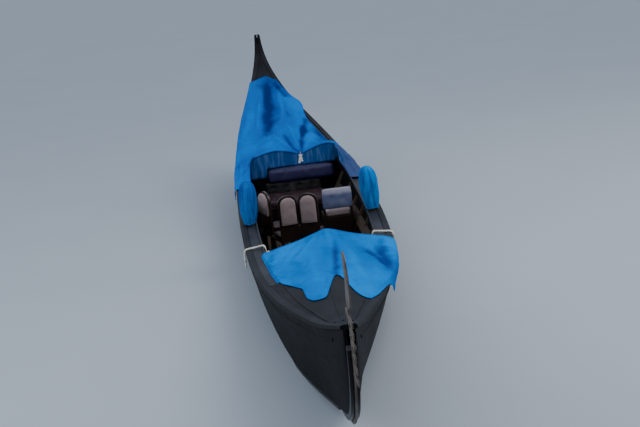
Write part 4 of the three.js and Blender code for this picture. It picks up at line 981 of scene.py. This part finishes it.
# Side bench: a varnished box with a low back on two posts. Its cushion is cloth over stuffing, and its back
# is a padded panel, both with piping along the seam.
eased("bench_box", varnish, 0.003)
_, bench_spin, bench_half = stuffed("bench_cushion_sewn", "bench_cushion", upholstery,
                                    0.01, (22, 18, 8), (), 21)
piping("bench_cushion_piping", bench_spin, bench_half, 2, 0.7 * bench_half.z, upholstery)
panel_cloth = Finish("panel_cloth", "smoky_cover", Specular_IOR_Level=0.35)
panel_cloud = panel_cloth.cloud(10.0, 4)
panel_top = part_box("bench_back_pad")[1].z
# The panel is paler along its top edge.
panel_top_paler = panel_cloth.ease(panel_cloth.axis("Z") + panel_cloud * 0.03, panel_top - 0.06, panel_top - 0.02)
panel_shade = panel_cloth.mix(panel_cloud, (0.06, 0.08, 0.17), (0.14, 0.16, 0.26))
panel_cloth.set(Base_Color=panel_cloth.mix(panel_top_paler, panel_shade, (0.3, 0.29, 0.38)),
                Roughness=panel_cloud * 0.2 + 0.4, Normal=panel_cloth.bump(panel_cloud, 0.004))
_, panel_spin, panel_half = stuffed("bench_back_sewn", "bench_back_pad", panel_cloth, 0.006,
                                    (8, 24, 18), ((-0.4, 0.0, 0, 0.006), (0.4, 0.0, 0, 0.006)), 23)
piping("bench_back_piping", panel_spin, panel_half, 0, 0.2 * panel_half.x, panel_cloth, 0.0032)


# Canvas covers: coated blue canvas cut to the boat, hemmed all round, stretched from rail to rail and lashed.
# Sun has paled it in patches; the ridges are paler with painted highlight and the hollows darker with painted
# shade.
def canvas_finish(name, shade, pale, deep):
    """Canvas of that shade, paler with painted highlight where it stands proud and darker with painted shade
    where it sinks.
    """
    made = Finish(name, "blue_canvas", Specular_IOR_Level=0.0)
    rise = made.node("Attribute", out="Fac", attribute_name="rise")
    sunned = made.cloud(1.3, 5, (0.45, 1.5, 1.2))
    fine = made.cloud(26.0, 4, (0.5, 1, 1))
    colour = made.mix(made.ease(sunned + (fine - 0.5) * 0.16, 0.34, 0.68), shade, pale)
    streak = made.cloud(5.0, 4, (0.3, 2.4, 2.0)) - 0.5
    # The folds' rise darkens the hollows as painted shade and pales the ridges as painted highlight.
    colour = made.mix(made.ease(rise + streak * 0.7, 0.2, -1.2), colour, deep)
    colour = made.mix(made.ease(rise + streak * 0.7, 0.3, 1.5) * 0.7, colour, pale)
    weave = made.node("UVMap", uv_map="weave")
    threads = made.node("TexWave", {"Vector": weave, "Scale": 260.0, "Distortion": 1.5}, out=1,
                        wave_type="BANDS", bands_direction="X")
    across = made.node("TexWave", {"Vector": weave, "Scale": 260.0, "Distortion": 1.5}, out=1,
                       wave_type="BANDS", bands_direction="Y")
    crumple = made.bump(made.cloud(9.0, 5, (0.6, 1.4, 1)), 0.004)
    made.set(Base_Color=colour, Roughness=fine * 0.12 + 0.76,
             Normal=made.bump(threads + across, 0.0002, crumple))
    return made


SHOULDER = 0.04  # how far over the planks' edge a cover turns down
HEM_DROP = 0.05  # and how far under that edge its hem hangs
HEM_OUT = 0.012
DOWN = 7  # rows of points down the hem
ACROSS = 90  # and across an end cover


def cover_rows(nodes, xs, free, out, across=ACROSS):
    """Rows of points on the covers' outer faces, from the free edge at each x over to the hem outside the
    rail."""
    hit = surface(*nodes)
    low_x = min(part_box(node)[0].x for node in nodes)
    high_x = max(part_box(node)[1].x for node in nodes)
    rows = []
    for x in xs:
        start, end = free(x), out(x)
        probe = min(max(x, low_x + 0.002), high_x - 0.002)
        row = []
        for j, share in enumerate(span(0, 1, across)):
            inner = start + (end - start) * min(max(share, 0.006), 0.994)
            met = hit((probe, inner, 3))
            z = met.z if met else rows[-1][j].z if rows else sheer(x) + SHOULDER
            row.append(Vector((x, start + (end - start) * share, z)))
        for share in span(0, 1, DOWN + 1)[1:]:
            row.append(Vector((x, end, sheer(x) + SHOULDER - (SHOULDER + HEM_DROP) * share)))
        rows.append(row)
    return rows


def relaxed(rows, times):
    """The rows with their kinks smoothed out, as stretched cloth has none."""
    for _ in range(times):
        before = [[p.copy() for p in row] for row in rows]
        for i in range(len(rows)):
            for j in range(1, len(rows[0]) - 1):
                around = before[i][j - 1] + before[i][j + 1]
                count = 2
                if 0 < i < len(rows) - 1:
                    around = around + before[i - 1][j] + before[i + 1][j]
                    count = 4
                rows[i][j] = before[i][j].lerp(around / count, 0.5)
            if 0 < i < len(rows) - 1:
                for j in (0, len(rows[0]) - 1):
                    rows[i][j] = before[i][j].lerp((before[i - 1][j] + before[i + 1][j]) / 2, 0.5)
    return rows


def trimmed(rows, reach, count):
    """The same cloth with each lengthwise line cut where reach(y) says, and spaced anew."""
    columns = []
    for j in range(len(rows[0])):
        line = [row[j] for row in rows]
        cut = next((i for i, p in enumerate(line) if i and p.x > reach(p.y)), None)
        if cut:
            a, b = line[cut - 1], line[cut]
            over, under = b.x - reach(b.y), reach(a.y) - a.x
            line = line[:cut] + [a.lerp(b, under / (over + under))]
        gone = travelled(line)
        column = []
        for target in span(0, gone[-1], count):
            i = min(max(bisect.bisect_right(gone, target) - 1, 0), len(line) - 2)
            step = gone[i + 1] - gone[i]
            column.append(line[i].lerp(line[i + 1], (target - gone[i]) / step if step else 0))
        columns.append(column)
    return [[column[i] for column in columns] for i in range(count)]


def row_normals(rows):
    """Outward normals of the rows, upward on top and away from the boat on the hem."""
    normals = []
    for i in range(len(rows)):
        line = []
        for j in range(len(rows[0])):
            along = rows[min(i + 1, len(rows) - 1)][j] - rows[max(i - 1, 0)][j]
            across = rows[i][min(j + 1, len(rows[0]) - 1)] - rows[i][max(j - 1, 0)]
            normal = along.cross(across).normalized()
            outside = Vector((0, rows[i][j].y, 0.15))
            line.append(normal if normal.dot(outside) + 2 * normal.z > 0 else -normal)
        normals.append(line)
    return normals


def ridge(point, fold):
    """How far a fold lifts the cloth at a point: start, end, width and height, softly ending."""
    (x0, y0), (x1, y1), width, height = fold
    a, d = Vector((x0, y0)), Vector((x1 - x0, y1 - y0))
    here = Vector((point.x, point.y)) - a
    share = clipped(here.dot(d) / d.length_squared)
    off = here - d * share
    side = 1 if off.x * d.y - off.y * d.x > 0 else -1
    wander = 0.4 * width * noise.noise(Vector((point.x * 4, point.y * 4, height * 90)))
    far = max(0.0, off.length + side * wander) / width
    ends = min(1, 3.2 * min(share, 1 - share) + 0.12)
    return height * math.exp(-far * far) * ends


CLOTH_CLEAR = 0.0055  # least height of the cloth's outer face over what carries it


def folded(rows, folds, crumple, seed, rests, moved_by=None):
    """The rows moved out along their normals by folds and crumples, never into what they rest on, and how
    high each point stands."""
    under = surface(*rests)
    normals = row_normals(rows)
    rise = []
    for i, row in enumerate(rows):
        line = []
        for j, point in enumerate(row):
            lift = sum(ridge(point, fold) for fold in folds)
            p = point + Vector((seed, 0, 0))
            loose = noise.noise(Vector((p.x * 2.2, p.y * 4.0, p.z * 3))) * 0.9
            loose += abs(noise.noise(Vector((p.x * 5.5, p.y * 9.0, p.z * 8)))) * 0.8 - 0.2
            loose += noise.noise(Vector((p.x * 17, p.y * 20, p.z * 17))) * 0.22
            moved = point + normals[i][j] * (lift + crumple * loose)
            if moved_by:
                moved += moved_by(point, i / (len(rows) - 1))
            met = under((moved.x, moved.y, 3))
            if met and met.z + CLOTH_CLEAR > moved.z > met.z - 0.05:
                moved.z = met.z + CLOTH_CLEAR
            rows[i][j] = moved
            line.append(lift / 0.016 + loose * 0.55)
        rise.append(line)
    return rows, rise


def port_out(x):
    return rail_out["port"](x) + HEM_OUT


def starboard_out(x):
    return -(rail_out["starboard"](x) + HEM_OUT)


AFT_X = [end.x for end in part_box("aft_cover")]
aft_free = station_line("aft_cover", lambda row: max(p.y for p in row))
arch_at = between([(y, arch_top(y)) for y in span(back_low.y + 0.002, back_high.y - 0.002, 120)])
# The aft canvas is the same cloth as the fore cover's, given darker colours as painted shade.
aft_canvas_shaded = canvas_finish("aft_canvas_shaded", (0.0003, 0.082, 0.36), (0.0006, 0.16, 0.57), (0.0001, 0.022, 0.14))
aft_rows = cover_rows(("aft_cover",), span(*AFT_X, 210), aft_free, starboard_out)
aft_rows = relaxed(aft_rows, 12)
LIFT_START = -2.95  # from here on the cover climbs to the arch
for point in (p for row in aft_rows for p in row[:ACROSS] if back_low.y < p.y < back_high.y):
    share = clipped((point.x - LIFT_START) / (AFT_X[1] - LIFT_START))
    share = share * share * (3 - 2 * share)
    point.z += (arch_at(point.y) + 0.006 - point.z) * share
TURN_OVER_ARCH = ((-2.394, 0.0), (-2.379, -0.002), (-2.364, 0.001), (-2.3555, 0.006), (-2.3535, 0.014),
                  (-2.3530, 0.022))  # each row's x and its drop
front_row = aft_rows[-1]
for step, (x, drop) in enumerate(TURN_OVER_ARCH):
    line = []
    for point in front_row:
        inside = back_low.y < point.y < back_high.y
        reach = x if inside else AFT_X[1] + 0.002 * (step + 1)
        z = point.z - drop - (0.004 * noise.noise(Vector((point.y * 9, 0, 0))) if step > 3 else 0)
        line.append(Vector((reach, point.y, z)))
    aft_rows.append(line)
# Negative heights are valleys, darkened by the canvas finish as painted shade; where the cloth lies on the
# deck, that shade is most of what they show.
AFT_FOLDS = [
    ((-4.80, 0.04), (-2.95, -0.09), 0.070, -0.021),
    ((-4.75, 0.14), (-4.10, 0.26), 0.055, -0.016),
    ((-3.75, 0.42), (-2.95, 0.33), 0.050, -0.022),
    ((-3.30, 0.36), (-2.25, 0.250), 0.030, -0.016),
    ((-3.05, 0.07), (-2.25, 0.250), 0.026, -0.014),
    ((-3.70, 0.56), (-2.40, 0.62), 0.090, -0.012),
    ((-4.50, 0.17), (-3.40, 0.14), 0.036, 0.026),
    ((-4.40, -0.08), (-3.20, -0.21), 0.034, 0.022),
    ((-3.30, 0.18), (-2.42, 0.243), 0.024, 0.018),
    ((-3.10, 0.48), (-2.43, 0.30), 0.030, 0.016),
    ((-3.05, -0.05), (-2.42, 0.17), 0.030, 0.018),
    ((-2.90, -0.36), (-2.42, 0.02), 0.030, 0.014),
    ((-4.30, 0.26), (-3.85, 0.42), 0.110, 0.060),
    ((-4.00, 0.26), (-3.30, 0.40), 0.050, 0.014),
    ((-4.10, -0.24), (-3.20, -0.38), 0.050, 0.018),
    ((-3.60, -0.34), (-2.30, -0.42), 0.060, 0.012),
]
AFT_RESTS = ("aft_deck", "cap_rail_starboard", "cap_rail_port", "seat_back_cover")
aft_rows, aft_rise = folded(aft_rows, AFT_FOLDS, 0.0045, 1.7, AFT_RESTS)
cloth_piece("aft_cover_sewn", aft_rows, aft_canvas_shaded, "aft_cover",
            rise=aft_rise, smooth=0)

wing_low, wing_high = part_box("back_cover_wing")
WING_HEAD = 0.6465
WING_FOOT = -2.13


def wing_free(x):
    """The wing's inner edge: down from the arch, then along the coaming."""
    share = clipped((x - wing_low.x) / (WING_FOOT - wing_low.x))
    return WING_HEAD * (1 - share) + coaming_in["port"](x) * share


wing_rows = cover_rows(("back_cover_wing",), span(wing_low.x, wing_high.x, 84), wing_free,
                       port_out, 28)
wing_rows = relaxed(wing_rows, 6)
WING_FOLDS = [
    ((-2.36, 0.70), (-1.9, 0.72), 0.02, 0.010),
    ((-2.34, 0.78), (-1.6, 0.80), 0.02, 0.012),
    ((-2.3, 0.66), (-2.0, 0.78), 0.02, 0.010),
    ((-2.0, 0.70), (-1.55, 0.74), 0.018, 0.009),
]
wing_rows, _ = folded(wing_rows, WING_FOLDS, 0.004, 8.1, ("cap_rail_port", "side_deck_port"))
wing_rows = [row[::-1] for row in wing_rows]
cloth_piece("back_cover_wing_sewn", wing_rows, smoky, "back_cover_wing")

CORNER_X = (-2.46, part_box("aft_cover_corner")[1].x)


def corner_free(x):
    """The corner's inner edge: over the arch, then along the coaming."""
    share = clipped((x + 2.345) / 0.06)
    return -0.29 * (1 - share) - coaming_in["starboard"](x) * share


CORNER_ACROSS = 26
corner_rows = cover_rows(("aft_cover", "aft_cover_corner"), span(*CORNER_X, 90), corner_free, starboard_out,
                         CORNER_ACROSS)
corner_rows = relaxed(corner_rows, 5)
for i, row in enumerate(corner_rows):
    for j, point in enumerate(row):
        if j < CORNER_ACROSS:
            point.z += 0.004
        else:
            point.z -= 0.018 * min(1, i / 60) * (j - CORNER_ACROSS + 1) / DOWN
        if j >= CORNER_ACROSS - 2:
            point.y -= 0.003
CORNER_FOLDS = [
    ((-2.45, -0.44), (-1.75, -0.50), 0.025, 0.014),
    ((-2.30, -0.36), (-1.9, -0.46), 0.02, 0.012),
    ((-2.1, -0.40), (-1.62, -0.42), 0.02, 0.010),
    ((-2.36, -0.33), (-2.15, -0.52), 0.02, 0.012),
]
corner_rows, corner_rise = folded(
    corner_rows, CORNER_FOLDS, 0.004, 3.3,
    ("cap_rail_starboard", "side_deck_starboard", "seat_back_cover", "aft_deck"))
cloth_piece("aft_cover_corner_sewn", corner_rows, aft_canvas_shaded, "aft_cover_corner",
            rise=corner_rise)

front_at = between([
    (-0.40, 3.56), (-0.15, 3.59), (-0.11, 3.74), (-0.07, 3.775), (-0.02, 3.75), (0.062, 3.20), (0.132, 2.80),
    (0.172, 3.02), (0.183, 3.44), (0.205, 3.65), (0.24, 3.77), (0.30, 3.765), (0.405, 3.47), (0.52, 2.98),
    (0.60, 2.75), (0.65, 2.60)])
strip = between([(1.19, 0.112), (2.5, 0.112), (2.75, 0.125), (3.2, 0.2), (3.6, 0.155), (3.78, 0.17)])


def strip_free(x):
    """The fore canvas's edge on the starboard side deck."""
    return strip(x) - (rail_out["starboard"](x) - 0.016)


def fore_sag(point, along):
    """The canvas hangs a little between the ridge batten and the rails, and its front edge lies down."""
    beside = abs(point.y - 0.172)
    depth = math.sin(math.pi * beside / 0.5) if beside < 0.5 else 0
    sag = 0.016 * depth * clipped((2.5 - point.x) / 0.3)
    return Vector((0, 0, -sag - 0.03 * clipped((along - 0.86) / 0.12)))


# The fore canvas is the same cloth as the aft cover's, given lighter colours as painted light.
fore_canvas_lit = canvas_finish("fore_canvas_lit", (0.0004, 0.145, 0.5), (0.001, 0.215, 0.66), (0.0002, 0.045, 0.22))
FORE_X = (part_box("fore_cover")[0].x + 0.002, 3.78)
fore_rows = cover_rows(("fore_cover", "side_deck_starboard", "fore_deck"), span(*FORE_X, 240), strip_free,
                       port_out)
fore_rows = trimmed(fore_rows, front_at, 200)
fore_rows = relaxed(fore_rows, 16)
for point in (p for row in fore_rows for p in row if p.x < 2.62):
    inboard = point.y + coaming_in["starboard"](point.x)
    if -0.045 < inboard < 0.12:
        away = 0.3 * max(0, inboard) + 1.6 * max(0, -0.022 - inboard)
        point.z = max(point.z, coaming_top["starboard"](point.x) + 0.010 - away)
# Negative heights are valleys, which the canvas finish also darkens as painted shade.
FORE_FOLDS = [
    ((1.22, 0.20), (2.00, 0.19), 0.020, 0.010),
    ((1.60, 0.23), (3.60, 0.08), 0.030, -0.017),
    ((1.60, 0.32), (3.60, 0.30), 0.050, 0.018),
    ((1.50, 0.02), (3.50, -0.05), 0.050, 0.015),
    ((1.30, 0.40), (2.20, 0.62), 0.035, 0.012),
    ((1.70, 0.50), (2.40, 0.60), 0.060, -0.018),
    ((1.20, 0.66), (2.90, 0.54), 0.050, -0.012),
    ((2.20, 0.50), (3.50, 0.36), 0.040, 0.010),
    ((1.30, -0.05), (2.10, -0.30), 0.035, 0.010),
    ((1.00, -0.28), (2.00, -0.38), 0.050, -0.008),
    ((2.70, 0.14), (3.68, 0.24), 0.030, 0.010),
    ((2.80, 0.06), (3.58, -0.02), 0.030, 0.010),
    ((1.25, 0.10), (1.90, -0.12), 0.030, 0.010),
]
fore_rows, fore_rise = folded(
    fore_rows, FORE_FOLDS, 0.004, 5.2,
    ("fore_deck", "cap_rail_port", "side_deck_port", "side_deck_starboard", "cover_ridge_batten"), fore_sag)
fore_rows, fore_rise = [row[::-1] for row in fore_rows], [row[::-1] for row in fore_rise]
cloth_piece("fore_cover_sewn", fore_rows, fore_canvas_lit, "fore_cover",
            rise=fore_rise, smooth=0)

aft_sides = aft_rows[:-len(TURN_OVER_ARCH)]
for canvas, hems in (
        (aft_canvas_shaded, (("aft_port", [row[0] for row in aft_sides]), ("aft_end", aft_rows[0]),
                      ("corner_inner", [row[0] for row in corner_rows]), ("corner_front", corner_rows[-1]),
                      ("aft_foot", [row[-1] for row in aft_sides]),
                      ("corner_foot", [row[-1] for row in corner_rows]))),
        (fore_canvas_lit, (("fore_starboard", [row[-1] for row in fore_rows]), ("fore_rear", fore_rows[0]),
                       ("fore_front", fore_rows[-1]), ("fore_foot", [row[0] for row in fore_rows])))):
    for name, line in hems:
        piece("hem_" + name, tube([p + Vector((0, 0, 0.0012)) for p in line[::2]], 0.0034), canvas)


# Hoods: canvas sleeves that stand on the side decks over padding, draped on the coaming and the rail and
# creased from top to foot.
# The hoods' canvas is the same cloth as the fore cover's, given darker colours as painted shade.
hood_canvas_shaded = canvas_finish("hood_canvas_shaded", (0.0003, 0.1, 0.38), (0.001, 0.2, 0.56), (0.0001, 0.025, 0.15))
HOOD_PROFILE = [(0.032, 0.112, 0.060), (0.06, 0.124, 0.068), (0.12, 0.142, 0.082), (0.21, 0.152, 0.090),
                (0.3, 0.148, 0.088), (0.36, 0.134, 0.078), (0.405, 0.112, 0.060), (0.428, 0.07, 0.036),
                (0.4325, 0.004, 0.002)]
HOOD_LEAN = {"port": (0.006, -0.012), "starboard": (0.006, -0.004)}
HOOD_AROUND = 96
for side_name, side in SIDES:
    low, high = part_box("hood_" + side_name)
    middle = (low + high) / 2
    foot_lean, head_lean = HOOD_LEAN[side_name]
    line = curve_points([Vector((a, b, z)) for z, a, b in HOOD_PROFILE], 0.007)
    rows = []
    rise = []
    for station in line:
        share = (station.z - 0.032) / 0.4
        row, heights = [], []
        for a in span(0, 2 * math.pi, HOOD_AROUND + 1):
            around = Vector((math.cos(a), math.sin(a), 0))
            crease = abs(noise.noise(Vector((around.x * 2.6 + side, around.y * 2.6, share * 1.1)))) * 2 - 0.5
            crease += 0.5 * noise.noise(Vector((around.x * 6, around.y * 6 + side, share * 2.2)))
            flare = 0.05 * math.sin(5 * a + side) * max(0, 1 - 3 * share)
            grow = 1 + (0.09 * crease + flare) * (1 - 0.5 * share)
            x = station.x * math.copysign(abs(around.x) ** 0.85, around.x) * grow
            y = station.y * math.copysign(abs(around.y) ** 0.85, around.y) * grow
            y += side * (foot_lean + (head_lean - foot_lean) * share)
            z = station.z + 0.006 * math.sin(3 * a + side) * max(0, 1 - 4 * share)
            row.append(Vector((middle.x + x, middle.y + y, low.z + z)))
            heights.append(crease)
        row[-1] = row[0].copy()
        rows.append(row)
        rise.append(heights)
    cloth_piece("hood_" + side_name + "_sewn", rows, hood_canvas_shaded, "hood_" + side_name,
                0.002, rise)
    piece("hem_hood_" + side_name, tube(rows[0][:-1], 0.003, closed=True), hood_canvas_shaded)
    seam = [row[HOOD_AROUND // 4 * (1 if side < 0 else 3)] for row in rows[:-2]]
    piece("seam_hood_" + side_name, tube(seam, 0.0026), hood_canvas_shaded)


# The picture: calm pale light from all round, a plain pale floor at the waterline that goes round the hull,
# and the photo's viewpoint.
floor_finish = Finish("floor", None, Specular_IOR_Level=0.0)
floor_cloud = floor_finish.cloud(0.6, 3)
FLOOR_REACH = 1500
floor_finish.set(Base_Color=floor_finish.mix(floor_cloud, (0.36, 0.4, 0.45), (0.39, 0.43, 0.48)),
                 Roughness=floor_cloud * 0.1 + 0.8)
hull_at = surface("side_planking_port", "side_planking_starboard", "bottom_planking", "stem", "sternpost")
waterline = []
for side, xs in ((1, span(-5.2, 5.2, 261)), (-1, span(5.2, -5.2, 261))):
    for x in xs:
        met = hull_at((x, side * 1.5, 0), (0, -side, 0))
        if met:
            waterline.append(Vector((x, side * max(side * met.y - 0.006, 0.001), 0)))
floor = bmesh.new()
near_ring = [floor.verts.new(p) for p in waterline]
far_ring = [floor.verts.new(Vector((p.x / 5.5, p.y / 0.8, 0)).normalized() * FLOOR_REACH) for p in waterline]
for k in range(len(waterline)):
    n = (k + 1) % len(waterline)
    floor.faces.new((near_ring[n], near_ring[k], far_ring[k], far_ring[n]))
floor_data = mesh_data("floor", floor)
floor_data.materials.append(floor_finish.material)


def staged(name, data):
    """An object of the picture that is no part of the boat."""
    made = linked(name, data)
    return made


staged("floor", floor_data)

world = bpy.data.worlds.new("sky")
world.use_nodes = True
sky = world.node_tree.nodes["Background"]
sky_tree = world.node_tree
towards = sky_tree.nodes.new("ShaderNodeTexCoord")
height = sky_tree.nodes.new("ShaderNodeSeparateXYZ")
sky_tree.links.new(towards.outputs["Generated"], height.inputs[0])
graded = sky_tree.nodes.new("ShaderNodeMapRange")
graded.interpolation_type = "SMOOTHSTEP"
graded.inputs["From Max"].default_value = 0.55
sky_tree.links.new(height.outputs["Z"], graded.inputs["Value"])
shades = sky_tree.nodes.new("ShaderNodeMix")
shades.data_type = "RGBA"
shades.inputs[6].default_value = (0.34, 0.38, 0.44, 1)
shades.inputs[7].default_value = (0.84, 0.92, 1.04, 1)
sky_tree.links.new(graded.outputs[0], shades.inputs[0])
sky_tree.links.new(shades.outputs[2], sky.inputs["Color"])
sky.inputs["Strength"].default_value = 0.95
bpy.context.scene.world = world


AMIDSHIPS = Vector((0, 0, 0.4))


def soft_light(name, place, size, power, colour):
    """A broad lamp turned towards the middle of the boat."""
    data = bpy.data.lights.new(name, "AREA")
    data.shape = "RECTANGLE"
    data.size, data.size_y = size
    data.energy = power
    data.color = colour
    made = staged(name, data)
    made.location = place
    made.rotation_euler = (AMIDSHIPS - Vector(place)).to_track_quat("-Z", "Y").to_euler()


soft_light("daylight", (2, 6, 9), (7, 7), 520, (1.0, 0.97, 0.92))
soft_light("sky_side", (6, -7, 5), (6, 4), 220, (0.85, 0.92, 1.0))

# The photo's viewpoint. The camera is turned by the boat's list, since the boat itself is upright.
PHOTO_MIDDLE = (320, 213.5)  # pixels of the photo
PHOTO_HORIZON = 180.2
PHOTO_FOCAL = 627.0
PHOTO_AIM = (471, 322)  # the boat's middle, which the picture is centred on
PICTURE_WIDTH = 640
ZOOM = 1.95
SENSOR = 36
LIST = math.radians(6.42)
YAW = 0.150
PITCH = math.atan((PHOTO_MIDDLE[1] - PHOTO_HORIZON) / PHOTO_FOCAL)
STATION = Vector((11.565, -0.849, 3.129))
upright = Matrix.Rotation(-LIST, 3, "X")
ahead = Vector((-math.cos(YAW) * math.cos(PITCH), -math.sin(YAW) * math.cos(PITCH), -math.sin(PITCH)))
right = ahead.cross(Vector((0, 0, 1))).normalized()
above = right.cross(ahead)
look = (ahead + right * (PHOTO_AIM[0] - PHOTO_MIDDLE[0]) / PHOTO_FOCAL
        + above * (PHOTO_MIDDLE[1] - PHOTO_AIM[1]) / PHOTO_FOCAL)
look = upright @ look.normalized()
camera_right = look.cross(upright @ Vector((0, 0, 1))).normalized()
camera_up = camera_right.cross(look)
lens = bpy.data.cameras.new("camera")
lens.sensor_width = SENSOR
lens.lens = PHOTO_FOCAL * ZOOM / PICTURE_WIDTH * SENSOR
lens.clip_end = 4000
camera = linked("camera", lens)
camera.matrix_world = (Matrix.Translation(upright @ STATION)
                       @ Matrix((camera_right, camera_up, -look)).transposed().to_4x4())
bpy.context.scene.camera = camera
